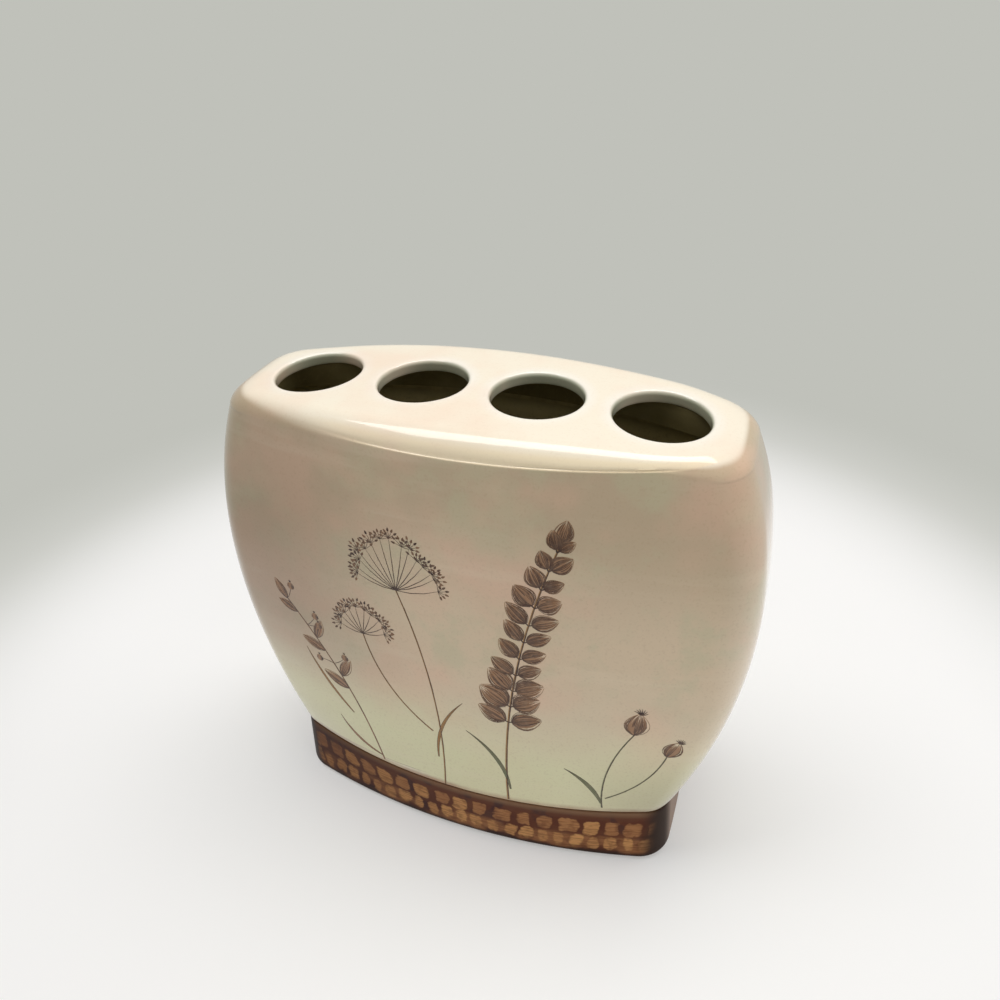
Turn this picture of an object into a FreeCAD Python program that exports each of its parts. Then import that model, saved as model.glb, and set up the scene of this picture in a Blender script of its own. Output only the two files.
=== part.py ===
import FreeCAD, Part
import os

import Sketcher

# Glazed toothbrush holder: a barrel-shaped body, lens-shaped in plan, under an arched deck with
# brush holes, standing on a brown foot with non-slip pads.
# Frame: X along the holder, Y from front to back, Z up; the origin is under the middle, on the table.
# All sizes are in millimetres.

# Driving sizes. Each name is an alias in the sheet.
SIZES = {
    # Heights, one above the other: foot, body, the deck's edge at its ends, and the deck's arch
    "foot_height": 16.4,
    "body_height": 87.8,
    "rim_height": 1.65,
    "deck_rise": 2.35,
    # Brush holes, and the deck left between them, past them and beside them
    "hole_radius": 9.0,
    "hole_land": 5.75,
    "end_margin": 7.175,
    "side_margin": 11.9,
    "corner_margin": 2.6,
    "lip_radius": 0.7,
    # Half-length of the body, from the foot up
    "base_half_length": 46.9,
    "lower_half_length": 54.3,
    "belly_half_length": 58.1,
    "upper_half_length": 57.8,
    # Half-depth of the body at its middle
    "base_half_depth": 27.1,
    "lower_half_depth": 25.6,
    "belly_half_depth": 24.0,
    "upper_half_depth": 22.5,
    # Half-depth of the body at its ends
    "base_end_depth": 18.3,
    "lower_end_depth": 17.9,
    "belly_end_depth": 16.7,
    "upper_end_depth": 14.6,
    "end_bulge": 0.8,
    "corner_radius": 4.2,
    # Body wall
    "wall": 3.2,
    "inner_corner_radius": 3.0,
    # Deck
    "deck_thickness": 2.6,
    "shoulder_inset": 2.0,
    "shoulder_end_inset": 1.6,
    "rim_radius": 1.2,
    "spigot_depth": 5.0,
    "spigot_wall": 2.4,
    "seat_clearance": 0.2,
    # Foot
    "foot_half_length": 47.7,
    "foot_half_depth": 26.7,
    "foot_end_depth": 19.6,
    "foot_corner_radius": 6.0,
    "foot_edge_radius": 0.9,
    "floor_thickness": 3.6,
    "collar_height": 5.0,
    "collar_wall": 2.8,
    "foot_ring_width": 5.0,
    "recess_depth": 1.5,
    # Bonding beads
    "bead_height": 1.6,
    "bead_width": 1.8,
    # Non-slip pads
    "pad_radius": 4.5,
    "pad_proud": 0.5,
    "pad_edge_radius": 0.4,
    "pad_inset": 9.7,
    # Overrun of the cutting shapes past the solids that they cut
    "overrun": 6.0,
}

HOLE_COUNT = 4
LEVELS = ("base", "lower", "belly", "upper", "crown")
LEVEL_SHARES = (0.0, 0.25, 0.5, 0.75, 1.0)
KINDS = ("half_length", "half_depth", "end_depth")

PARTS_FOLDER = "parts"

doc = FreeCAD.newDocument("toothbrush_holder")
sheet = doc.addObject("Spreadsheet::Sheet", "sizes")
for row, (alias, value) in enumerate(SIZES.items(), start=1):
    sheet.set(f"A{row}", alias)
    sheet.set(f"B{row}", str(value))
    sheet.setAlias(f"B{row}", alias)
doc.recompute()


# Expressions in the sheet's sizes
def cell(alias):
    return f"sizes.{alias}"


HOLE_PITCH = f"(2 * {cell('hole_radius')} + {cell('hole_land')})"
HOLE_SPAN = f"({(HOLE_COUNT - 1) / 2} * {HOLE_PITCH} + {cell('hole_radius')})"
PARTING = f"({cell('foot_height')} + {cell('body_height')})"
DECK_TOP = f"({PARTING} + {cell('rim_height')} + {cell('deck_rise')})"
SPIGOT_FOOT = f"({PARTING} - {cell('spigot_depth')})"
COLLAR_TOP = f"({cell('foot_height')} + {cell('collar_height')})"
CROWN = {
    "half_length": f"({HOLE_SPAN} + {cell('end_margin')})",
    "half_depth": f"({cell('hole_radius')} + {cell('side_margin')})",
    "end_depth": f"({cell('hole_radius')} + {cell('corner_margin')})",
}


def level_size(level, kind):
    """The crown's outline follows the brush holes; the other levels have sizes of their own."""
    if level == "crown":
        return CROWN[kind]
    return cell(f"{level}_{kind}")


def level_sizes(level, inset):
    return [f"{level_size(level, kind)} - ({inset})" for kind in KINDS]


def level_height(index):
    return f"{cell('foot_height')} + {LEVEL_SHARES[index]} * {cell('body_height')}"


def leaned_sizes(level, neighbour, distance, inset):
    """The wall's outline a distance away from a level, on the straight line to the next level."""
    share = f"(({distance}) / ({LEVEL_SHARES[1]} * {cell('body_height')}))"
    sizes = []
    for kind in KINDS:
        near = level_size(level, kind)
        far = level_size(neighbour, kind)
        sizes.append(f"{near} + ({far} - {near}) * {share} - ({inset})")
    return sizes


def narrower_sizes(first, second):
    """The lesser of two outlines, which passes through both."""
    return [f"min({one}; {other})" for one, other in zip(first, second)]


def arc_radius(half_chord, rise):
    """The radius of an arc from its half-chord and its rise."""
    return f"(({half_chord})^2 + ({rise})^2) / (2 * ({rise}))"


# Sketches
def origin_plane(body, role):
    for feature in body.Origin.OriginFeatures:
        if feature.Role == role:
            return feature
    raise RuntimeError(f"{body.Label} has no {role}")


def new_sketch(owner, name, height):
    """A horizontal sketch at a height, in a body or, with no owner, in the document."""
    if owner is None:
        sketch = doc.addObject("Sketcher::SketchObject", name)
        sketch.setExpression("Placement.Base.z", height)
        return sketch
    sketch = owner.newObject("Sketcher::SketchObject", name)
    sketch.AttachmentSupport = (origin_plane(owner, "XY_Plane"), [""])
    sketch.MapMode = "FlatFace"
    sketch.setExpression("AttachmentOffset.Base.z", height)
    return sketch


def add_named(sketch, name, constraint, expression):
    index = sketch.addConstraint(constraint)
    sketch.renameConstraint(index, name)
    sketch.setExpression(f"Constraints.{name}", expression)


def lens_sketch(owner, name, height, sizes):
    """A lens outline: long arcs at front and back, and slightly bulged arcs at the ends.

    The arcs are first drawn as the belly's outline, and the constraints then give them their own
    sizes, which are expressions for the half-length, the half-depth and the half-depth at the ends.
    """
    half_length, half_depth, end_depth = sizes
    sketch = new_sketch(owner, name, height)
    length = SIZES["belly_half_length"]
    depth = SIZES["belly_half_depth"]
    end = SIZES["belly_end_depth"]
    bulge = SIZES["end_bulge"]
    corners = [(-length, -end), (length, -end), (length, end), (-length, end)]
    middles = [(0, -depth), (length + bulge, 0), (0, depth), (-length - bulge, 0)]
    arcs = []
    for side, middle in enumerate(middles):
        start = FreeCAD.Vector(*corners[side], 0)
        finish = FreeCAD.Vector(*corners[(side + 1) % 4], 0)
        arcs.append(sketch.addGeometry(Part.Arc(start, FreeCAD.Vector(*middle, 0), finish), False))
    front, right, back, left = arcs
    for first, second in zip(arcs, arcs[1:] + arcs[:1]):
        sketch.addConstraint(Sketcher.Constraint("Coincident", first, 2, second, 1))
    for arc, axis in ((front, -2), (back, -2), (right, -1), (left, -1)):
        sketch.addConstraint(Sketcher.Constraint("PointOnObject", arc, 3, axis))
    sketch.addConstraint(Sketcher.Constraint("Equal", front, back))
    sketch.addConstraint(Sketcher.Constraint("Equal", right, left))
    sketch.addConstraint(Sketcher.Constraint("Horizontal", front, 1, front, 2))
    sketch.addConstraint(Sketcher.Constraint("Vertical", right, 1, right, 2))
    front_radius = sketch.Geometry[front].Radius
    end_radius = sketch.Geometry[right].Radius
    add_named(sketch, "length", Sketcher.Constraint("DistanceX", -1, 1, front, 2, length), half_length)
    add_named(sketch, "end", Sketcher.Constraint("DistanceY", front, 2, -1, 1, end), end_depth)
    add_named(sketch, "front", Sketcher.Constraint("Radius", front, front_radius),
              arc_radius(half_length, f"({half_depth}) - ({end_depth})"))
    add_named(sketch, "side", Sketcher.Constraint("Radius", right, end_radius),
              arc_radius(end_depth, cell("end_bulge")))
    return sketch


# Features
def new_body(name):
    body = doc.addObject("PartDesign::Body", name)
    body.Label = name
    return body


def loft(body, kind, name, sketches, ruled):
    feature = body.newObject(f"PartDesign::{kind}Loft", name)
    feature.Profile = sketches[0]
    feature.Sections = sketches[1:]
    feature.Ruled = ruled
    doc.recompute()
    return feature


def pocket(body, name, sketch, depth, upward):
    """Cuts a sketch's outline out of the body, and makes sure that it did cut."""
    before = body.Tip.Shape.Volume
    feature = body.newObject("PartDesign::Pocket", name)
    feature.Profile = sketch
    feature.Reversed = upward
    feature.setExpression("Length", depth)
    doc.recompute()
    if not feature.Shape.Volume < before:
        raise RuntimeError(f"{name} cuts nothing")
    return feature


def fillet(body, name, base, radius_alias, wanted):
    names = [f"Edge{index}" for index, edge in enumerate(base.Shape.Edges, start=1) if wanted(edge)]
    feature = body.newObject("PartDesign::Fillet", name)
    feature.Base = (base, names)
    feature.setExpression("Radius", cell(radius_alias))
    body.Tip = feature
    doc.recompute()
    return feature


def extrusion(name, sketch, length, direction):
    solid = doc.addObject("Part::Extrusion", name)
    solid.Base = sketch
    solid.DirMode = "Custom"
    solid.Dir = direction
    solid.setExpression("LengthFwd", length)
    solid.Solid = True
    return solid


def combine(kind, name, base, tool):
    result = doc.addObject(f"Part::{kind}", name)
    result.Label = name
    result.Base = base
    result.Tool = tool
    doc.recompute()
    return result


def middle_depth(edge):
    """How far the middle of an edge lies from the plane of the brush holes."""
    return abs(edge.valueAt((edge.FirstParameter + edge.LastParameter) / 2).y)


# Body shell: the smooth wall between the foot and the deck
def make_body_shell():
    body = new_body("body_shell")
    for kind, name, inset in (("Additive", "outer", "0"), ("Subtractive", "inner", cell("wall"))):
        sketches = []
        for index, level in enumerate(LEVELS):
            sizes = level_sizes(level, inset)
            sketches.append(lens_sketch(body, f"{name}_{level}", level_height(index), sizes))
        hollow = loft(body, kind, f"shell_{name}", sketches, False)
    between = SIZES["belly_end_depth"] - SIZES["wall"] / 2

    def outer_corner(edge):
        return edge.BoundBox.ZLength > SIZES["body_height"] / 2 and middle_depth(edge) > between

    def inner_corner(edge):
        return edge.BoundBox.ZLength > SIZES["body_height"] / 2 and middle_depth(edge) < between

    rounded = fillet(body, "outer_corners", hollow, "corner_radius", outer_corner)
    fillet(body, "inner_corners", rounded, "inner_corner_radius", inner_corner)
    return body


def make_hollow(name, inset):
    """The space inside the shell, drawn in from its outer face by an inset."""
    levels = []
    for index, level in enumerate(LEVELS):
        levels.append(lens_sketch(None, f"{name}_{level}", level_height(index), level_sizes(level, inset)))
    space = doc.addObject("Part::Loft", f"{name}_loft")
    space.Sections = levels
    space.Solid = True
    space.Ruled = False
    doc.recompute()
    body = new_body(name)
    body.BaseFeature = space
    doc.recompute()

    def corner(edge):
        return edge.BoundBox.ZLength > SIZES["body_height"] / 2

    fillet(body, f"{name}_corners", body.Tip, "inner_corner_radius", corner)
    return body


# Top deck: an arched plate with brush holes, a sloped shoulder and a spigot inside the shell
def crown_space(name, drop):
    """The space under an arch that follows the deck's top, lowered by an expression."""
    sketch = doc.addObject("Sketcher::SketchObject", f"{name}_arch")
    sketch.Placement.Rotation = FreeCAD.Rotation(FreeCAD.Vector(1, 0, 0), 90)
    half = SIZES["belly_half_length"]
    low = SIZES["foot_height"]
    side = SIZES["body_height"]
    high = side + SIZES["deck_rise"]
    corners = [(-half, low), (half, low), (half, side), (-half, side)]
    low_left, low_right, high_right, high_left = [FreeCAD.Vector(*corner, 0) for corner in corners]
    floor = sketch.addGeometry(Part.LineSegment(low_left, low_right), False)
    right = sketch.addGeometry(Part.LineSegment(low_right, high_right), False)
    arch = sketch.addGeometry(Part.Arc(high_right, FreeCAD.Vector(0, high, 0), high_left), False)
    left = sketch.addGeometry(Part.LineSegment(high_left, low_left), False)
    for first, second in ((floor, right), (right, arch), (arch, left), (left, floor)):
        sketch.addConstraint(Sketcher.Constraint("Coincident", first, 2, second, 1))
    sketch.addConstraint(Sketcher.Constraint("Vertical", right))
    sketch.addConstraint(Sketcher.Constraint("Vertical", left))
    sketch.addConstraint(Sketcher.Constraint("PointOnObject", arch, 3, -2))
    sketch.addConstraint(Sketcher.Constraint("Symmetric", floor, 1, floor, 2, -2))
    radius = sketch.Geometry[arch].Radius
    arch_size = arc_radius(CROWN["half_length"], cell("deck_rise"))
    add_named(sketch, "half", Sketcher.Constraint("DistanceX", -1, 1, floor, 2, half),
              f"{CROWN['half_length']} + {cell('overrun')}")
    add_named(sketch, "low", Sketcher.Constraint("DistanceY", -1, 1, floor, 2, low),
              f"{SPIGOT_FOOT} - {cell('overrun')}")
    add_named(sketch, "radius", Sketcher.Constraint("Radius", arch, radius), arch_size)
    add_named(sketch, "centre", Sketcher.Constraint("DistanceY", arch, 3, -1, 1, radius - high),
              f"{arch_size} - ({DECK_TOP} - ({drop}))")
    width = f"2 * ({CROWN['half_depth']} + {cell('overrun')})"
    solid = extrusion(name, sketch, width, FreeCAD.Vector(0, 1, 0))
    solid.Symmetric = True
    return solid


def make_deck_cap():
    """The plate above the parting line, with its upright corners rounded."""
    lower = lens_sketch(None, "cap_lower", PARTING, level_sizes("crown", "0"))
    upper = lens_sketch(None, "cap_upper", DECK_TOP, [
        f"{CROWN['half_length']} - {cell('shoulder_end_inset')}",
        f"{CROWN['half_depth']} - {cell('shoulder_inset')}",
        f"{CROWN['end_depth']} - {cell('shoulder_end_inset')} / 2",
    ])
    cap_loft = doc.addObject("Part::Loft", "cap_loft")
    cap_loft.Sections = [lower, upper]
    cap_loft.Solid = True
    cap_loft.Ruled = True
    doc.recompute()
    block = new_body("deck_block")
    block.BaseFeature = cap_loft
    doc.recompute()

    def leaning(edge):
        return edge.BoundBox.ZLength > SIZES["rim_height"]

    fillet(block, "cap_corners", block.Tip, "corner_radius", leaning)
    return combine("Common", "deck_cap", block, crown_space("deck_arch", "0"))


def hole_sketch(body):
    sketch = new_sketch(body, "hole_centres", DECK_TOP)
    pitch = 2 * SIZES["hole_radius"] + SIZES["hole_land"]
    for index in range(HOLE_COUNT):
        share = index - (HOLE_COUNT - 1) / 2
        centre = FreeCAD.Vector(share * pitch, 0, 0)
        circle = Part.Circle(centre, FreeCAD.Vector(0, 0, 1), SIZES["hole_radius"])
        hole = sketch.addGeometry(circle, False)
        sketch.addConstraint(Sketcher.Constraint("PointOnObject", hole, 3, -1))
        ends = (hole, 3, -1, 1) if share < 0 else (-1, 1, hole, 3)
        add_named(sketch, f"centre_{index}", Sketcher.Constraint("DistanceX", *ends, abs(centre.x)),
                  f"{abs(share)} * {HOLE_PITCH}")
        add_named(sketch, f"radius_{index}", Sketcher.Constraint("Radius", hole, SIZES["hole_radius"]),
                  cell("hole_radius"))
    return sketch


def make_top_deck():
    body = new_body("deck_plate")
    body.BaseFeature = make_deck_cap()
    doc.recompute()
    parting = SIZES["foot_height"] + SIZES["body_height"]

    def on_rim(edge):
        return edge.BoundBox.ZMin > parting + SIZES["rim_height"] / 2

    fillet(body, "cap_rim", body.Tip, "rim_radius", on_rim)

    clearance = cell("seat_clearance")
    inset = f"{cell('wall')} + {clearance}"
    opening = level_sizes("crown", inset)
    below = leaned_sizes("crown", "upper", cell("spigot_depth"), inset)
    top = lens_sketch(body, "spigot_top", PARTING, opening)
    foot = lens_sketch(body, "spigot_foot", SPIGOT_FOOT, narrower_sizes(opening, below))
    spigot = loft(body, "Additive", "spigot", [top, foot], True)

    def spigot_corner(edge):
        box = edge.BoundBox
        return box.ZLength > SIZES["spigot_depth"] / 2 and box.ZMax < parting + SIZES["lip_radius"]

    fillet(body, "spigot_corners", spigot, "inner_corner_radius", spigot_corner)
    depth = f"{DECK_TOP} - {SPIGOT_FOOT} + {cell('overrun')}"
    drilled = pocket(body, "brush_holes", hole_sketch(body), depth, False)

    def lip(edge):
        box = edge.BoundBox
        round_hole = edge.isClosed() and box.XLength < 2 * (SIZES["hole_radius"] + SIZES["lip_radius"])
        return round_hole and box.ZMin > parting

    fillet(body, "hole_lips", drilled, "lip_radius", lip)

    void_inset = f"{inset} + {cell('spigot_wall')}"
    void_outline = lens_sketch(None, "void_outline", f"{SPIGOT_FOOT} - {cell('overrun')}",
                               level_sizes("crown", void_inset))
    void_height = f"{DECK_TOP} - {SPIGOT_FOOT} + {cell('overrun')}"
    prism = extrusion("void_prism", void_outline, void_height, FreeCAD.Vector(0, 0, 1))
    void = combine("Common", "deck_void", prism, crown_space("void_arch", cell("deck_thickness")))
    return combine("Cut", "top_deck", body, void)


# Foot: a flared brown plinth with a floor, a collar inside the shell and a recess below
def make_foot_plinth():
    body = new_body("foot_plinth")
    foot_sizes = [cell(f"foot_{kind}") for kind in KINDS]
    lower = lens_sketch(body, "foot_lower", cell("pad_proud"), foot_sizes)
    upper = lens_sketch(body, "foot_upper", cell("foot_height"), level_sizes("base", "0"))
    loft(body, "Additive", "foot_block", [lower, upper], True)

    inset = f"{cell('wall')} + {cell('seat_clearance')}"
    opening = level_sizes("base", inset)
    above = leaned_sizes("base", "lower", cell("collar_height"), inset)
    rim_sizes = narrower_sizes(opening, above)
    collar_lower = lens_sketch(body, "collar_lower", cell("foot_height"), opening)
    collar_upper = lens_sketch(body, "collar_upper", COLLAR_TOP, rim_sizes)
    collar = loft(body, "Additive", "collar", [collar_lower, collar_upper], True)
    foot_top = SIZES["foot_height"]

    def foot_corner(edge):
        box = edge.BoundBox
        return box.ZMax < foot_top + SIZES["seat_clearance"] and box.ZLength > foot_top / 2

    def foot_edge(edge):
        return edge.BoundBox.ZMax < SIZES["pad_proud"] + SIZES["foot_edge_radius"]

    def collar_corner(edge):
        box = edge.BoundBox
        above_foot = box.ZMin > foot_top - SIZES["seat_clearance"]
        return above_foot and box.ZLength > SIZES["collar_height"] / 2

    corners = fillet(body, "foot_corners", collar, "foot_corner_radius", foot_corner)
    edge = fillet(body, "foot_edge", corners, "foot_edge_radius", foot_edge)
    fillet(body, "collar_corners", edge, "inner_corner_radius", collar_corner)

    well_sizes = [f"{size} - {cell('collar_wall')}" for size in rim_sizes]
    well = lens_sketch(body, "well_outline", COLLAR_TOP, well_sizes)
    floor = f"({cell('pad_proud')} + {cell('recess_depth')} + {cell('floor_thickness')})"
    pocket(body, "well", well, f"{COLLAR_TOP} - {floor}", False)
    recess_sizes = [f"{size} - {cell('foot_ring_width')}" for size in foot_sizes]
    recess = lens_sketch(body, "recess_outline", cell("pad_proud"), recess_sizes)
    pocket(body, "recess", recess, cell("recess_depth"), True)
    return body


# Bonding beads: rings in the inner corners between the shell and what seats in it
def make_bead(name, height, cavity, core):
    """A ring between the shell's inner wall and a core that follows it."""
    sizes = [f"{cell(f'belly_{kind}')} + {cell(f'base_{kind}')}" for kind in KINDS]
    outline = lens_sketch(None, f"{name}_outline", height, sizes)
    slab = extrusion(f"{name}_slab", outline, cell("bead_height"), FreeCAD.Vector(0, 0, 1))
    disc = combine("Common", f"{name}_disc", slab, cavity)
    return combine("Cut", name, disc, core)


# Non-slip pads: round, soft-edged discs in the recess
def make_foot_pad(name, length_side, depth_side):
    body = new_body(name)
    outline = new_sketch(body, f"{name}_outline", "0")
    circle = Part.Circle(FreeCAD.Vector(0, 0, 0), FreeCAD.Vector(0, 0, 1), SIZES["pad_radius"])
    disc = outline.addGeometry(circle, False)
    outline.addConstraint(Sketcher.Constraint("Coincident", disc, 3, -1, 1))
    add_named(outline, "radius", Sketcher.Constraint("Radius", disc, SIZES["pad_radius"]),
              cell("pad_radius"))
    pad = body.newObject("PartDesign::Pad", f"{name}_disc")
    pad.Profile = outline
    pad.setExpression("Length", f"{cell('pad_proud')} + {cell('recess_depth')}")
    doc.recompute()

    def lower_edge(edge):
        return edge.BoundBox.ZMax < SIZES["pad_edge_radius"]

    fillet(body, f"{name}_edge", pad, "pad_edge_radius", lower_edge)
    recess_length = f"({cell('foot_half_length')} - {cell('foot_ring_width')})"
    recess_depth = f"({cell('foot_end_depth')} - {cell('foot_ring_width')})"
    body.setExpression("Placement.Base.x", f"{length_side} * ({recess_length} - {cell('pad_inset')})")
    body.setExpression("Placement.Base.y", f"{depth_side} * ({recess_depth} - {cell('pad_radius')})")
    doc.recompute()
    return body


def check_document():
    """Stops before anything is written if an object failed or a piece isn't one sound solid."""
    for obj in doc.Objects:
        if "Invalid" in obj.State or "Error" in obj.State:
            raise RuntimeError(f"{obj.Label} failed")
    for name, obj in parts.items():
        if obj.Shape.isNull() or not obj.Shape.isValid() or len(obj.Shape.Solids) != 1:
            raise RuntimeError(f"{name} isn't one sound solid")
        print(name, round(obj.Shape.Volume, 1))


parts = {"body_shell": make_body_shell(), "top_deck": make_top_deck(), "foot_plinth": make_foot_plinth()}
cavity = make_hollow("cavity", cell("wall"))
core = make_hollow("core", f"{cell('wall')} + {cell('bead_width')}")
deck_bead_foot = f"{SPIGOT_FOOT} - {cell('bead_height')}"
parts["deck_bond_bead"] = make_bead("deck_bond_bead", deck_bead_foot, cavity, core)
parts["base_bond_bead"] = make_bead("base_bond_bead", COLLAR_TOP, cavity, core)
for depth_name, depth_side in (("front", -1), ("back", 1)):
    for length_name, length_side in (("left", -1), ("right", 1)):
        pad_name = f"foot_pad_{depth_name}_{length_name}"
        parts[pad_name] = make_foot_pad(pad_name, length_side, depth_side)

doc.recompute()
check_document()
os.makedirs(PARTS_FOLDER, exist_ok=True)
for name, obj in parts.items():
    obj.Shape.exportStep(f"{PARTS_FOLDER}/{name}.step")
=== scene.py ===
"""A glazed toothbrush holder with four brush holes, a botanical print and a brown basket-weave foot.

The fixed frame is loaded first. Each operator then models one piece around it from named sizes in
metres, and the stage operator adds the floor, the lights and the camera.
"""

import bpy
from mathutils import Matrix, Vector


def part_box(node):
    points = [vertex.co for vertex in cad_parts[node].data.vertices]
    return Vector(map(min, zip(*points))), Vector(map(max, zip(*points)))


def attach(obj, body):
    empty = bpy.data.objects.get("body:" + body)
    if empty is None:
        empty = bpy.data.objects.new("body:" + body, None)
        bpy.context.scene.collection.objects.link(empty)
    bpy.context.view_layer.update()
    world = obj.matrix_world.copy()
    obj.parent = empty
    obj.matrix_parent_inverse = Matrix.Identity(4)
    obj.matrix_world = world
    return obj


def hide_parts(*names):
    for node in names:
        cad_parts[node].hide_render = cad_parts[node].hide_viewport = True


bl_info = {
    "name": "Glazed Toothbrush Holder",
    "version": (1, 0, 0),
    "blender": (4, 5, 0),
    "location": "3D Viewport > Sidebar > Holder",
    "description": "Models and glazes a ceramic toothbrush holder around its fixed frame",
    "category": "Add Mesh",
}

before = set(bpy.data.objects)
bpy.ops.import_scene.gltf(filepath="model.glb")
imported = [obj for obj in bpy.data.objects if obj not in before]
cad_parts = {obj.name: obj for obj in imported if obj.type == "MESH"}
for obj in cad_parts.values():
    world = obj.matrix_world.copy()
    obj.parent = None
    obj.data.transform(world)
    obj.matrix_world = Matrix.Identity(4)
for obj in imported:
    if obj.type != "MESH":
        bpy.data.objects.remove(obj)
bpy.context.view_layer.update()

import math
import random
from contextlib import contextmanager
from functools import lru_cache

import bmesh
import bpy
from bpy.props import FloatProperty, FloatVectorProperty, IntProperty, PointerProperty
from mathutils import Matrix, Vector

MM = 0.001

# Heights of the joints, read from the frame
FOOT_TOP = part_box("body_shell")[0].z
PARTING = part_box("body_shell")[1].z
DECK_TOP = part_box("top_deck")[1].z
SPIGOT_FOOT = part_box("top_deck")[0].z
FOOT_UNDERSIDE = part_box("foot_plinth")[0].z
COLLAR_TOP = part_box("foot_plinth")[1].z

# Columns of faces round every ring: front, corner and end, then the same again
HOLE_COUNT = 4
HOLE_COLUMNS = 24
FRONT_COLUMNS = HOLE_COLUMNS * HOLE_COUNT
CORNER_COLUMNS = 12
END_COLUMNS = 36
ARC_COLUMNS = (FRONT_COLUMNS, CORNER_COLUMNS, END_COLUMNS, CORNER_COLUMNS) * 2
COLUMNS = sum(ARC_COLUMNS)
BACK_START = sum(ARC_COLUMNS[:4])

# As an outline is drawn in: what its ends and its corners lose of that, and what the corners keep
END_LOSS = 0.7
CORNER_LOSS = 0.8
CORNER_LEAST = 0.4

SMOOTH_ANGLE = math.radians(50)


def tone(code):
    """A colour written as a web code, in linear light."""
    channels = []
    for start in (0, 2, 4):
        value = int(code[start:start + 2], 16) / 255
        channels.append(value / 12.92 if value <= 0.04045 else ((value + 0.055) / 1.055) ** 2.4)
    return (*channels, 1.0)


def measure(name, description, default):
    """A property that holds a length, given here in millimetres."""
    return FloatProperty(name=name, description=description, default=default * MM, unit="LENGTH",
                         precision=5)


def measures(name, description, *defaults):
    return FloatVectorProperty(name=name, description=description, size=len(defaults),
                               default=[value * MM for value in defaults], unit="LENGTH", precision=5)


def colour(name, description, code):
    return FloatVectorProperty(name=name, description=description, size=4, default=tone(code),
                               subtype="COLOR", min=0.0, max=1.0)


class HolderForm(bpy.types.PropertyGroup):
    """Sizes of the body, the deck and the foot."""

    half_lengths: measures("Half lengths", "Half the body's length at five levels, from the foot up",
                           46.9, 54.3, 58.1, 57.8, 51.8)
    half_depths: measures("Half depths", "Half the body's depth at its middle, at five levels",
                          27.1, 25.6, 24.0, 22.5, 20.9)
    end_depths: measures("End depths", "Half the body's depth at its ends, at five levels",
                         18.3, 17.9, 16.7, 14.6, 11.6)
    end_bulge: measure("End bulge", "How far each end face swells past its corners", 0.77)
    low_corner: measure("Lower corner radius", "Radius of the body's corners at the foot", 7.4)
    high_corner: measure("Upper corner radius", "Radius of the body's corners at the deck", 8.6)
    inner_corner: measure("Inner corner radius", "Radius of the corners inside the body", 3.0)
    wall: measure("Wall", "Thickness of the body's wall", 3.2)
    seam: measure("Seam drop", "How far the deck reaches down the wall below its crease", 1.8)
    curl: measure("Curl", "How far the body's lower edge curls in above the foot", 0.55)
    hole_radius: measure("Hole radius", "Radius of a brush hole", 9.0)
    hole_pitch: measure("Hole pitch", "Distance between the middles of the brush holes", 23.75)
    lip_radius: measure("Lip radius", "Rounding of a brush hole's upper lip", 0.9)
    deck_thickness: measure("Deck thickness", "Thickness of the deck", 2.6)
    deck_rise: measure("Deck rise", "How far the deck's middle stands above its ends", 2.35)
    crease_rise: measure("Crease rise", "How far the crease climbs from the middle to its ends", 1.3)
    crease_reach: measure("Crease reach", "Distance from the middle to where the crease fades", 48.0)
    facet_tilt: FloatProperty(name="Facet tilt", description="Lean of the facet above the crease",
                              default=math.radians(27), subtype="ANGLE")
    crease_ledge: measure("Crease ledge", "Width of the fine ledge along the crease", 0.26)
    roll_radius: measure("Roll radius", "Rounding from the facet into the deck", 5.0)
    soft_roll: measure("Soft roll", "Width of the broad roll at the ends and where the crease fades", 4.5)
    spigot_inset: measure("Spigot inset", "Distance from the outer face to the spigot", 3.4)
    spigot_wall: measure("Spigot wall", "Thickness of the spigot", 2.4)
    foot_sizes: measures("Foot sizes", "Half length, half depth and end depth of the foot's underside",
                         47.7, 26.7, 20.0)
    foot_corner: measure("Foot corner radius", "Radius of the foot's corners at its underside", 8.2)
    foot_edge: measure("Foot edge radius", "Rounding of the foot's lower edge", 0.9)
    foot_lip: measure("Foot lip radius", "Rounding of the foot's upper edge", 0.45)
    foot_ring: measure("Foot ring", "Width of the ring that the foot stands on", 5.0)
    recess: measure("Recess", "Depth of the recess under the foot", 1.5)
    floor: measure("Floor", "Thickness of the floor above the recess", 3.6)
    collar_wall: measure("Collar wall", "Thickness of the collar inside the body", 2.8)


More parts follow.
